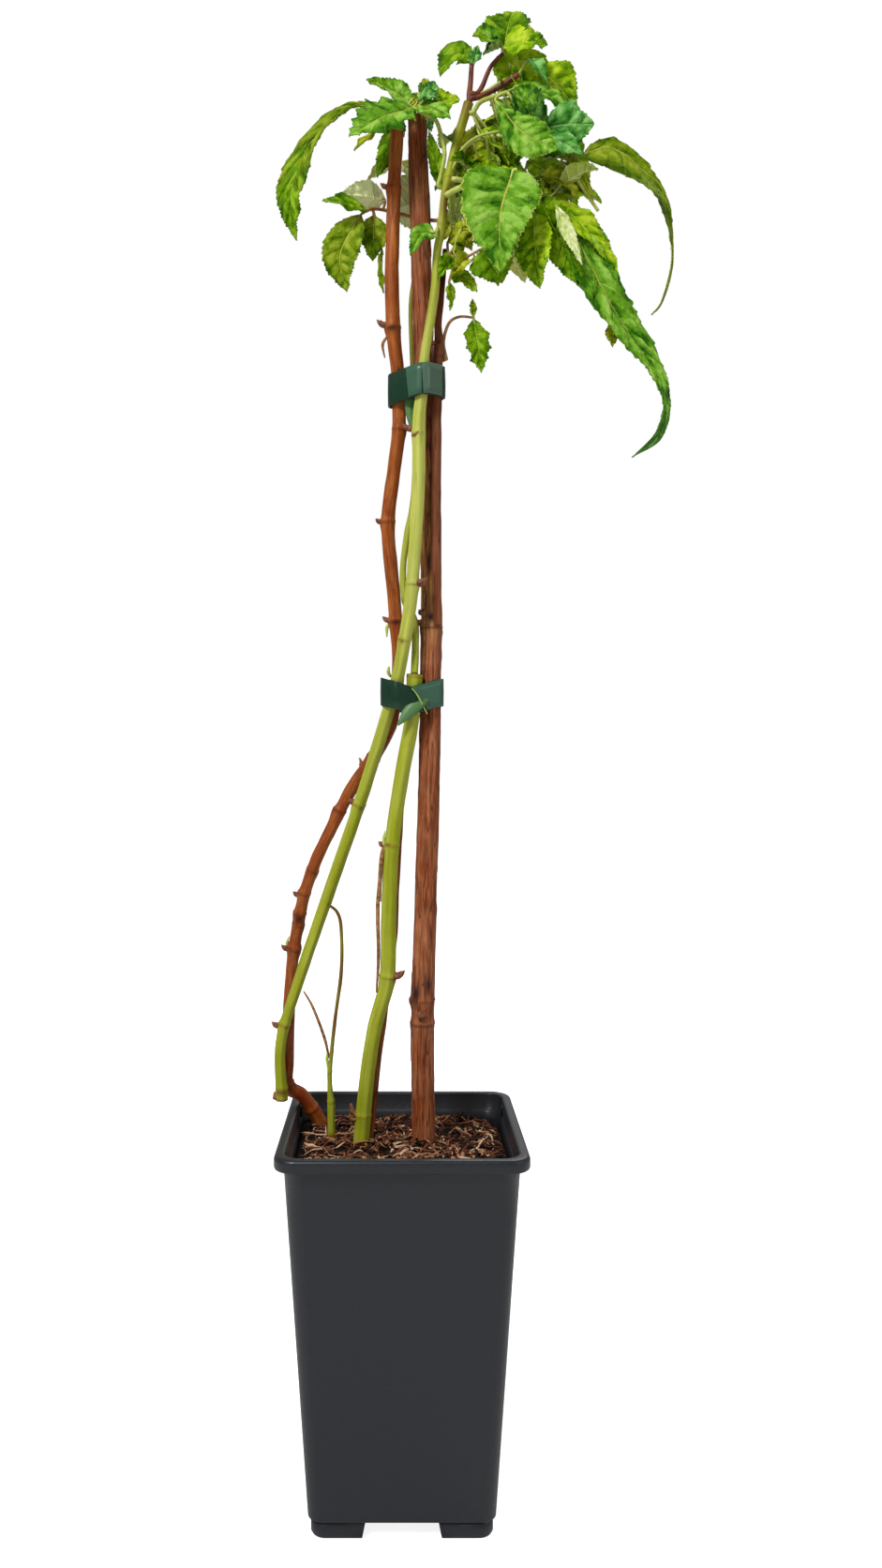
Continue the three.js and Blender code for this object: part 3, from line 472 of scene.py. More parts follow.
def make_grain() -> Tree:
    """Fine even grain: a mask, a roughness and a height from one scale."""
    inputs = {"Scale": 900, "Rough Low": 0.4, "Rough High": 0.6}
    group, entry, leave = new_group("Fine grain", inputs, ("Mask", "Roughness", "Height"))
    spot = group.nodes.new("ShaderNodeTexCoord").outputs["Object"]
    fine = noise(group, spot, entry.outputs["Scale"], 3)
    mask = remap(fine, 0.35, 0.65, 0, 1)
    rough = remap(mask, 0, 1, entry.outputs["Rough Low"], entry.outputs["Rough High"])
    put(leave, {"Mask": mask, "Roughness": rough, "Height": fine})
    return group


def make_streaks() -> Tree:
    """Grain drawn out along a cane: masks for fibres, patches and cracks, and a height."""
    outputs = ("Fibre", "Patch", "Crack", "Height")
    group, entry, leave = new_group("Bark streaks", {"Across": 900, "Stretch": 0.06}, outputs)
    lie = attribute(group, "lie", "Vector")
    sizes = group.nodes.new("ShaderNodeCombineXYZ")
    put(sizes, {"X": 1, "Y": 1, "Z": entry.outputs["Stretch"]})
    drawn = stretched(lie, sizes.outputs["Vector"])
    fibre = noise(group, drawn, entry.outputs["Across"], 5, 0.65)
    patch = noise(group, stretched(lie, (1, 1, 0.45)), 160, 3, 0.6)
    split = work_out("SUBTRACT", noise(group, drawn, 420, 2, 0.5), 0.5)
    crack = remap(work_out("ABSOLUTE", split), 0.006, 0.024, 1, 0)
    height = work_out("ADD", fibre, work_out("MULTIPLY", crack, -0.6))
    put(leave, {"Fibre": remap(fibre, 0.36, 0.64, 0, 1), "Patch": remap(patch, 0.36, 0.64, 0, 1)})
    put(leave, {"Crack": crack, "Height": height})
    return group


@fixed
class Effects:
    """Shader groups that several finishes share."""

    grain: Tree
    streaks: Tree
    quilt: Tree


def start_material(name: str) -> tuple[bpy.types.Material, Tree, bpy.types.Node]:
    """A new material with its node tree and its shader."""
    material = bpy.data.materials.new(name)
    material.use_nodes = True
    return material, material.node_tree, material.node_tree.nodes["Principled BSDF"]


def place_effect(tree: Tree, group: Tree, values: dict[str, float]) -> bpy.types.bpy_prop_collection:
    """Places a shared group in a material with its own values, and gives its outputs."""
    node = tree.nodes.new("ShaderNodeGroup")
    node.node_tree = group
    return put(node, values).outputs


@fixed
class GrainedFinish:
    """One plain colour, or two that a fine grain mixes, with that grain in its gloss and relief."""

    name: str
    colour: str
    other: str | None = None
    rough: tuple[float, float] = (0.45, 0.65)
    scale: float = 900.0
    relief: float = 0.0001
    specular: float = 0.35
    coat: float = 0.0

    def material(self, effects: Effects) -> bpy.types.Material:
        """Builds the material."""
        made, tree, shader = start_material(self.name)
        low, high = self.rough
        values = {"Scale": self.scale, "Rough Low": low, "Rough High": high}
        grain = place_effect(tree, effects.grain, values)
        colour = linear(self.colour)
        if self.other:
            colour = mix(grain["Mask"], colour, linear(self.other))
        normal = bump(grain["Height"], self.relief, 0.6 if self.other else 0.5)
        put(shader, {"Base Color": colour, "Roughness": grain["Roughness"], "Normal": normal})
        put(shader, {"Specular IOR Level": self.specular, "Coat Weight": self.coat})
        return made


@fixed
class LeafFinish:
    """One plain leaf colour on a crinkled face."""

    name: str
    colour: str
    relief: float = 0.0007
    specular: float = 0.06

    def material(self, effects: Effects) -> bpy.types.Material:
        """Builds the material."""
        made, tree, shader = start_material(self.name)
        quilt = place_effect(tree, effects.quilt, {})
        put(shader, {"Base Color": linear(self.colour), "Specular IOR Level": self.specular})
        put(shader, {"Roughness": quilt["Roughness"], "Normal": bump(quilt["Height"], self.relief, 1.0)})
        return made


@fixed
class BarkFinish:
    """Bark with streaks, patches, a second colour by height, and scars."""

    name: str
    dark: str
    main: str
    light: str
    other: str
    scar: str
    across: float = 900.0
    stretch: float = 0.06
    fibres: float = 0.7
    patches: float = 0.5
    cracks: float = 0.0
    rough: tuple[float, float] = (0.5, 0.75)
    relief: float = 0.0002

    def material(self, effects: Effects) -> bpy.types.Material:
        """Builds the material."""
        made, tree, shader = start_material(self.name)
        streaks = place_effect(tree, effects.streaks, {"Across": self.across, "Stretch": self.stretch})
        colour = mix(attribute(tree, "tint"), linear(self.main), linear(self.other))
        for source, layer, low, high in (
            ("Patch", self.light, 0, self.patches),
            ("Fibre", self.dark, self.fibres, 0),
            ("Crack", self.scar, 0, self.cracks),
        ):
            colour = mix(remap(streaks[source], 0, 1, low, high), colour, linear(layer))
        colour = mix(attribute(tree, "mark"), colour, linear(self.scar))
        rough = remap(streaks["Fibre"], 0, 1, *self.rough)
        normal = bump(streaks["Height"], self.relief, 0.7)
        put(shader, {"Base Color": colour, "Roughness": rough, "Normal": normal})
        put(shader, {"Specular IOR Level": 0.18})
        return made


class Workshop:
    """Knows where the pot stands, makes each finish once and hands it out by name."""

    def __init__(self, axis: Array, finishes: list[GrainedFinish | LeafFinish | BarkFinish]) -> None:
        """Takes the place of the pot's axis, in metres, and every finish of the plant."""
        self.axis = axis
        self.effects = Effects(make_grain(), make_streaks(), make_quilt())
        self.finishes = {finish.name: finish for finish in finishes}
        self.made: dict[str, bpy.types.Material] = {}

    def material(self, name: str) -> bpy.types.Material:
        """The material of that name."""
        if name not in self.made:
            self.made[name] = self.finishes[name].material(self.effects)
        return self.made[name]


# -------- leaf colours
def halfway(first: str, second: str) -> str:
    """The colour between two."""
    pairs = zip(bytes.fromhex(first), bytes.fromhex(second))
    return bytes((one + other) // 2 for one, other in pairs).hex()


class Tone(Enum):
    """A leaf's colours: light, main and dark parts of its face, dealt partly as painted light and shade,
    its veins and its underside.
    """

    LIME = ("b4cc30", "86ac08", "547c00", "c6d058", "b4c25c")
    BRIGHT = ("90bc4a", "5e921a", "2a5c06", "b9ab52", "a0b85c")
    MID = ("86aa1c", "5a8400", "305600", "9cb434", "98b044")
    DEEP = ("86bc66", "509038", "26621a", "94c074", "98b870")
    OLIVE = ("bcc03e", "949e14", "5e6c00", "c8c25e", "b6b85c")
    # SHADED is painted shade: a dark green for leaves that lie in shadow, as inside the cupped leaf.
    SHADED = ("5c8c3c", "36681e", "18400c", "6a963e", "88a45c")
    MOSS = ("92a22c", "668004", "3a5600", "bcc060", "a0a85a")
    CREAM = ("e2eab6", "ccd890", "a8ba60", "eceec6", "d8e0a2")

    def shades(self) -> list[str]:
        """Five colours from its light part through its main part to its dark part."""
        light, main, dark = self.value[:3]
        return [light, halfway(light, main), main, halfway(main, dark), dark]

    def finish(self, part: int) -> str:
        """The name of the finish of one of its parts: 0 to 4 the face, 5 veins, 6 underside."""
        return f"leaf_{self.name.lower()}_{part}"


LIME, BRIGHT, MID, DEEP, OLIVE, SHADED, MOSS, CREAM = Tone
RIM_FINISH = "leaf_rim"


def leaf_finishes() -> list[LeafFinish]:
    """One plain finish for each part of each tone, and one for a pale margin."""
    made = [LeafFinish(RIM_FINISH, "b9bc58", 0.0003)]
    for tone in Tone:
        for part, colour in enumerate([*tone.shades(), *tone.value[3:]]):
            relief = 0.0002 if part == 5 else 0.0005
            made.append(LeafFinish(tone.finish(part), colour, relief))
    return made


# -------- leaves
SLANT = 0.18
LEAF_EDGE = 0.25
SKIN = 0.32
ACROSS_FINE = (0.022, 0.1, 0.19, 0.28, 0.37, 0.46, 0.55, 0.64, 0.73, 0.82, 0.9, 0.97, 1.0)
ACROSS_HALF = (0.025, 0.15, 0.31, 0.49, 0.68, 0.84, 0.965, 1.0)
BROAD = 13
VEIN_GAP = 5.2
VEIN_COUNTS = (4, 11)
SHADE_SHARES = (0.12, 0.36, 0.72, 0.9)
CUT_ALONG = ((0, 1, 2), (0, 2, 3))
CUT_ACROSS = ((0, 1, 3), (1, 2, 3))
CELL_ROWS = (0.0, 0.035, 0.09, 0.2, 0.31, 0.355, 0.5, 0.625, 0.67, 0.82, 0.965)
TOOTH_ROWS = (1.0, 0.93, 0.0, 0.35, 0.72, 0.06, 0.4, 0.78, 0.1, 0.55, 0.95)


def outline(place: Array, peak: float, taper: float) -> Array:
    """How wide a leaf is at a place along it, as a part of its full width."""
    along = np.clip(place, 0, 1) ** (math.log(0.5) / math.log(peak))
    width = np.maximum(np.sin(math.pi * along), 0) ** 0.8
    return np.where(along > 0.5, width**taper, width)


@fixed
class Leaf:
    """One leaf: its midrib, the way that its face looks, its width and its character."""

    name: str
    rib: tuple[Place, ...]
    facing: Place
    width: float
    tone: Tone
    end: Tone | None = None
    turned: Place | None = None
    arch: float = 0.03
    fold: float = 10.0
    curl: float = 0.0
    peak: float = 0.42
    taper: float = 1.0
    strip: float = 0.0
    uneven: float = 0.0
    pucker: float = 0.5
    ripple: float = 0.7
    lobes: float = 0.0
    rim: bool = False
    veins: int = 0

    def line(self) -> Line:
        """The midrib. One that is given by its two ends is arched towards its face."""
        if len(self.rib) > 2:
            return Line(self.rib)
        base, tip = np.array(self.rib[0]), np.array(self.rib[1])
        chord = tip - base
        up = np.array(self.facing)
        up = unit(up - chord * (up @ chord) / (chord @ chord))
        middle = (base + tip) / 2 + up * self.arch * np.linalg.norm(chord)
        return Line((base, middle, tip))

    def spread(
        self, along: Array, across: Array, cut: Array | float = 0.0, lift: Array | float = 0.0
    ) -> tuple[Array, Array]:
        """Places on the blade.

        Args:
            along: Rows along the midrib, 0 to 1.
            across: Columns, -1 to 1.
            cut: How far each place is drawn in from the margin.
            lift: How far each place is raised off the blade.

        Returns:
            The points and their normals, rows x columns x 3.
        """
        line = self.line()
        along = np.asarray(along, float)[:, None]
        across = np.asarray(across, float)[None, :]
        slant = SLANT * np.sin(math.pi * along)
        place = np.minimum(along + slant * np.abs(across), 1)
        shape = outline(along + slant, self.peak, self.taper)
        ends = np.minimum(1, 3 * (1 - along))
        half = np.maximum(self.width / 2 * shape, self.strip * ends)
        side_share = 1 + self.uneven * np.sign(across)
        half = np.maximum(half * side_share, LEAF_EDGE)
        forward = line.way(place)
        face = np.array(self.facing)
        last = face if self.turned is None else np.array(self.turned)
        up = face + (last - face) * place[..., None]
        up = unit(up - forward * (up * forward).sum(-1, keepdims=True))
        sign = np.where(across < 0, -1.0, 1.0)[..., None]
        side = np.cross(forward, up) * sign
        angle = np.radians(self.fold + self.curl * np.abs(across) / 2) * (across != 0)
        angle = angle[..., None]
        out = np.maximum(half * np.abs(across) - cut, 0)[..., None]
        point = line.at(place) + side * out * np.cos(angle) + up * out * np.sin(angle)
        normal = up * np.cos(angle) - side * np.sin(angle)
        return point + normal * np.asarray(lift)[..., None], normal

    def probe(self, rows: int) -> Array:
        """Points on its midrib and margins, in so many rows."""
        return self.spread(np.linspace(0, 1, rows), np.array((-1.0, 0.0, 1.0)))[0].reshape(-1, 3)

    def cells(self, fine: float) -> tuple[int, Array, Array, Array]:
        """Rows that follow the side veins.

        Args:
            fine: How many of the rows between two veins are kept, from 0 to 1.

        Returns:
            The number of side veins, the rows, their place between two veins and their teeth.
        """
        length = self.line().length()
        veins = self.veins or int(np.clip(round(length / VEIN_GAP), *VEIN_COUNTS))
        keep = range(len(CELL_ROWS)) if fine > 0.5 else (0, 1, 2, 4, 5, 7, 8, 10)
        parts = np.array([CELL_ROWS[k] for k in keep])
        teeth = np.array([TOOTH_ROWS[k] for k in keep])
        rows = (np.arange(veins)[:, None] + parts[None, :]).ravel() / veins
        parts, teeth = np.tile(parts, veins), np.tile(teeth, veins)
        return veins, np.r_[rows, 1.0], np.r_[parts, 1.0], np.r_[teeth, 1.0]

    def add_to(self, form: Form, slots: dict[str, int], fine: float = 1.0) -> None:
        """Adds the leaf as a thin closed blade with veins, teeth and puckers.

        Args:
            form: Takes the blade.
            slots: The slot of each finish by name; new names are added.
            fine: How finely it is made, from 0 to 1.
        """
        seed = seed_of(self.name)
        rng = np.random.default_rng(seed)
        veins, rows, parts, teeth = self.cells(fine)
        half = np.array(ACROSS_FINE if self.width > BROAD else ACROSS_HALF)
        half = half if fine > 0.5 else np.array(ACROSS_HALF)[[0, 2, 4, 6, 7]]
        columns = np.r_[-half[::-1], 0, half]
        reach = np.abs(columns)[None, :]
        shape = outline(rows + SLANT * np.sin(math.pi * rows), self.peak, self.taper)[:, None]
        tooth = (0.3 + 0.032 * self.width) * np.minimum(1, shape * 2.5)
        sinus = self.lobes * np.sin(math.pi * parts)[:, None] ** 2 * shape
        jag = 1 + 0.35 * value_noise(np.stack((rows * veins * 2, rows * 0, rows * 0 + 3), -1), 5)[:, None]
        cut = (tooth * (1 - teeth[:, None]) * jag) * soft_step(0.72, 1.0, reach)
        cut = cut + sinus * soft_step(0.2, 1.0, reach)
        swell = np.sin(math.pi * parts)[:, None] ** 0.8 * np.sin(math.pi * reach**0.8) ** 0.7
        phase = rng.uniform(0, 6.28, 3)
        wave = np.sin(math.tau * (1.6 * rows[:, None] + 0.2 * columns[None, :]) + phase[0])
        wave = wave + 0.6 * np.sin(math.tau * 3.7 * rows[:, None] + phase[1] + columns[None, :])
        flat, _ = self.spread(rows, columns)
        lumps = value_noise(flat / 3.1, seed) + 0.5 * value_noise(flat / 1.4, 3)
        lines = np.broadcast_arrays(rows[:, None] * veins * 2.1, reach * 2.4, (columns > 0) * 7.5)
        streak = value_noise(np.stack(lines, -1), seed + 4)
        crease = 0.5 - np.abs(value_noise(flat / 2.6, seed + 8)) ** 0.7
        crease = crease + 0.5 - np.abs(streak) ** 0.7
        envelope = np.minimum(1, shape * 1.6)
        lift = self.pucker * (swell + 0.75 * lumps * reach**0.5 - 0.55 * crease * reach**0.3) * envelope
        lift = lift + self.ripple * wave * reach**2 * envelope
        groove = np.where(reach < 0.03, 0.14, 0) + np.where(np.isin(parts, (0.0, 1.0)), 0.1, 0)[:, None]
        top, normal = self.spread(rows, columns, cut, lift + SKIN / 2 - groove)
        under = top - normal * (SKIN + 1.6 * groove[..., None])
        # Painted light and shade: the pillows and lumps deal lighter colours, the creases darker ones.
        relief_light = 0.5 * swell + 0.3 * lumps - 0.8 * crease + 0.6 * streak
        self.skin(form, slots, rows, parts, columns, top, under, int(rng.integers(1000)), relief_light)

    def skin(
        self, form: Form, slots: dict[str, int], rows: Array, parts: Array, columns: Array,
        top: Array, under: Array, seed: int, relief_light: Array,
    ) -> None:
        """Closes the blade between its two faces and deals out its colours.

        Args:
            form: Takes the blade.
            slots: The slot of each finish by name; new names are added.
            rows: The rows along the midrib.
            parts: Each row's place between two veins.
            columns: The columns across.
            top: The points of its face.
            under: The points of its underside.
            seed: Picks the patches of colour.
            relief_light: Painted light and shade from the relief: lighter where the blade stands out,
                darker in its creases.
        """
        n, m = len(rows), len(columns)
        size = n * m
        first = grid_faces(n, m)
        below = grid_faces(n, m, first=size)[..., ::-1]
        left, across = np.arange(n - 1) * m, np.arange(m - 1)
        right, tip = left + m - 1, (n - 1) * m + across
        at_right = np.c_[right, right + size, right + m + size, right + m]
        at_left = np.c_[left + size, left, left + m, left + m + size]
        at_base = np.c_[across + 1, across, across + size, across + 1 + size]
        at_tip = np.c_[tip, tip + 1, tip + 1 + size, tip + size]

        def slot(name: str) -> int:
            """The slot of a finish, added when it is new."""
            return slots.setdefault(name, len(slots))

        middle = np.abs(columns[:-1] + columns[1:])[None, :, None] / 2
        row = (rows[:-1] + rows[1:])[:, None, None] / 2
        # Each face's colour level: painted light and shade from the relief, plus broad mottling of the
        # leaf's own colour.
        level = (relief_light + 0.6 * value_noise(top / 7, seed + 7)).ravel()
        corner = level[first]
        along = np.abs(corner[..., 0] - corner[..., 2]) < np.abs(corner[..., 1] - corner[..., 3])
        halves = np.where(along[..., None, None], first[..., CUT_ALONG], first[..., CUT_ACROSS])
        middles = top.reshape(-1, 3)[halves].mean(-2)
        small, tiny = value_noise(middles / 2, seed + 2), value_noise(middles, seed + 1)
        shade = level[halves].mean(-1) + 0.1 * small
        order = shade.ravel().argsort().argsort().reshape(shade.shape) / shade.size
        part = np.searchsorted(SHADE_SHARES, 1 - order)
        late = row + 0.25 * small + 0.12 * tiny > 0.55
        end = self.end or self.tone
        near = np.array([slot(self.tone.finish(k)) for k in range(5)])
        far = np.array([slot(end.finish(k)) for k in range(5)])
        faces = np.where(late, far[part], near[part])
        vein_row = ((parts[:-1] < 0.03) | (parts[:-1] > 0.96))[:, None, None]
        lighter = np.maximum(part - 1, 0)
        pale = np.where(late, far[lighter], near[lighter])
        faces = np.where(vein_row & (middle < 0.8), pale, faces)
        faces = np.where(middle < 0.03, slot(self.tone.finish(5)), faces)
        if self.rim:
            faces = np.where((middle > 0.97) & (tiny > -0.1), slot(RIM_FINISH), faces)
        back = np.where(vein_row | (middle < 0.03), slot(CREAM.finish(6)), slot(self.tone.finish(6)))
        form.add(
            np.concatenate((top.reshape(-1, 3), under.reshape(-1, 3))),
            [
                (halves, faces.ravel()),
                (below, back.ravel()),
                *((np.vstack(closing), near[2]) for closing in ((at_right, at_left), (at_base, at_tip))),
            ],
        )


# -------- canes
class Bark(Enum):
    """Kinds of bark, each with its finish and its slot in the record."""

    OLD = ("bark_old", "old_bark")
    SIDE = ("bark_side", "side_bark")
    GREEN = ("bark_green", "green_bark")
    BROWN = ("bark_brown", "brown_bark")
    DRY = ("bark_dry", "dry_bark")


FOOT = 142.4 + GAP
FACET = 0.62


@fixed
class Cane:
    """One cane: its stations [x, y, z, radius], bark, buds and the swollen nodes on it."""

    name: str
    bark: Bark
    stations: tuple[Four, ...]
    buds: tuple[Four, ...] = ()
    rings: tuple[Place, ...] = ()
    tints: tuple[tuple[float, float], ...] = ((0, 0), (700, 0))
    scars: tuple[Four, ...] = ()
    step: float = 0.75

    def line(self) -> Line:
        """The line through the middle of the cane."""
        return Line([station[:3] for station in self.stations])

    def radius(self, t: Array) -> Array:
        """The smooth radius at places from 0 to 1."""
        sizes = [station[3] for station in self.stations]
        return np.interp(t, np.linspace(0, 1, len(sizes)), sizes)

    def cross(self, heights: Array) -> tuple[Array, Array, Array]:
        """Where the cane passes heights: its middles, directions and radii."""
        line = self.line()
        heights = np.asarray(heights, float)
        low, high = np.zeros(heights.shape), np.ones(heights.shape)
        for _ in range(24):
            half = (low + high) / 2
            under = line.at(half)[..., 2] < heights
            low, high = np.where(under, half, low), np.where(under, high, half)
        return line.at(low), line.way(low), self.radius(low)

    def relief(self, angle: Array, run: Array, size: Array) -> Array:
        """How far the bark stands out from the smooth limb.

        Args:
            angle: The compass angle of each point.
            run: How far along the cane it is.
            size: The smooth radius there.

        Returns:
            The height of the relief at each point.
        """
        seed = seed_of(self.name)
        around = np.stack((np.cos(angle) * size, np.sin(angle) * size, run), -1)
        fibre = value_noise(around * (2.6, 2.6, 0.12), seed)
        fine = value_noise(around * (5.5, 5.5, 0.3), seed + 1)
        lump = value_noise(around * (0.5, 0.5, 0.16), seed + 2)
        if self.bark is Bark.OLD:
            flake = soft_step(0.05, 0.16, value_noise(around * (0.95, 0.95, 0.075), seed + 3))
            return 0.16 * fibre + 0.08 * fine + 0.14 * lump + 0.26 * flake
        if self.bark is Bark.GREEN:
            ribs = np.cos(5 * angle + 0.004 * run)
            return 0.055 * size * ribs + 0.04 * fibre + 0.1 * lump
        if self.bark is Bark.DRY:
            return size * (0.18 * fibre + 0.1 * np.cos(3 * angle + 0.05 * run))
        return 0.07 * fibre + 0.04 * fine + 0.16 * lump

    def build(self, form: Form) -> None:
        """Adds the cane with its relief, and its buds."""
        line = self.line()
        t = line.even(self.step)
        spots, ways = line.at(t), line.way(t)
        planted = self.stations[0][2] == FOOT
        if planted:
            ways[0] = UPRIGHT
        first, second = cross_frames(ways)
        size = self.radius(t)[:, None]
        sides = max(int(round(math.tau * size.max() / FACET / 2)) * 2, 12)
        turn = turns(sides)[None, :]
        out = np.cos(turn)[..., None] * first[:, None] + np.sin(turn)[..., None] * second[:, None]
        angle = np.arctan2(out[..., 1], out[..., 0])
        run = running(spots)[:, None]
        run = np.broadcast_to(run, angle.shape)
        height = spots[:, 2:3]
        bulge = self.relief(angle, run, np.broadcast_to(size, angle.shape))
        mark = np.zeros(angle.shape)
        for level, degrees, swell in self.rings:
            away = height - level
            side = 0.6 + 0.4 * np.cos(angle - math.radians(degrees))
            bulge = bulge + swell * np.exp(-((away / 2.4) ** 2)) * side
            bulge = bulge + 0.45 * swell * np.exp(-(((away - 1.2) / 0.5) ** 2))
            mark = np.maximum(mark, 0.75 * np.exp(-(((away - 0.4) / 0.55) ** 2)) * side)
        for level, degrees, wide, tall in self.scars:
            turned = np.angle(np.exp(1j * (angle - math.radians(degrees)))) * size / wide
            mark = np.maximum(mark, np.exp(-(turned**2) - ((height - level) / tall) ** 2))
        if planted:
            bulge = bulge * np.minimum(1, (height - FOOT) / 1.5)
        second_colour = np.interp(height, *zip(*self.tints))
        blotches = value_noise(np.stack((angle * 0.8, run * 0.06, run * 0), -1))
        tint = np.clip(second_colour + 0.25 * blotches, 0, 1) * (second_colour > 0)
        rings = spots[:, None] + out * (size + bulge)[..., None]
        lie = np.stack((np.cos(angle) * size, np.sin(angle) * size, run), -1)
        stack(form, rings, 0, lie=lie, tint=tint, mark=mark)
        for bud in self.buds:
            self.add_bud(form, *bud)

    def add_bud(self, form: Form, height: float, degrees: float, length: float, radius: float) -> None:
        """Adds a pointed bud with two scales on a collar."""
        middle, _, size = self.cross(np.array(height))
        out = compass(degrees)
        rise = UPRIGHT * length * 0.6
        spots = [middle + out * size * 0.5]
        for reach, share in ((0.35, 0.12), (0.75, 0.55), (1, 1)):
            spots.append(middle + out * (size + length * reach) + rise * share)
        thick = [radius * share for share in (1.25, 1.15, 1.1, 0.85, 0.5, 0.12)]
        tube(form, Line(spots), thick, 10, 0.35, 1)
        across = np.cross(out, UPRIGHT)
        for side in (-1, 1):
            root = middle + out * size * 0.85 + across * side * radius * 0.8
            scale = Line((root, root + out * length * 0.45, root + out * length * 0.7 + rise * 0.9))
            tube(form, scale, (radius * 0.55, radius * 0.45, radius * 0.08), 7, 0.4, 1)


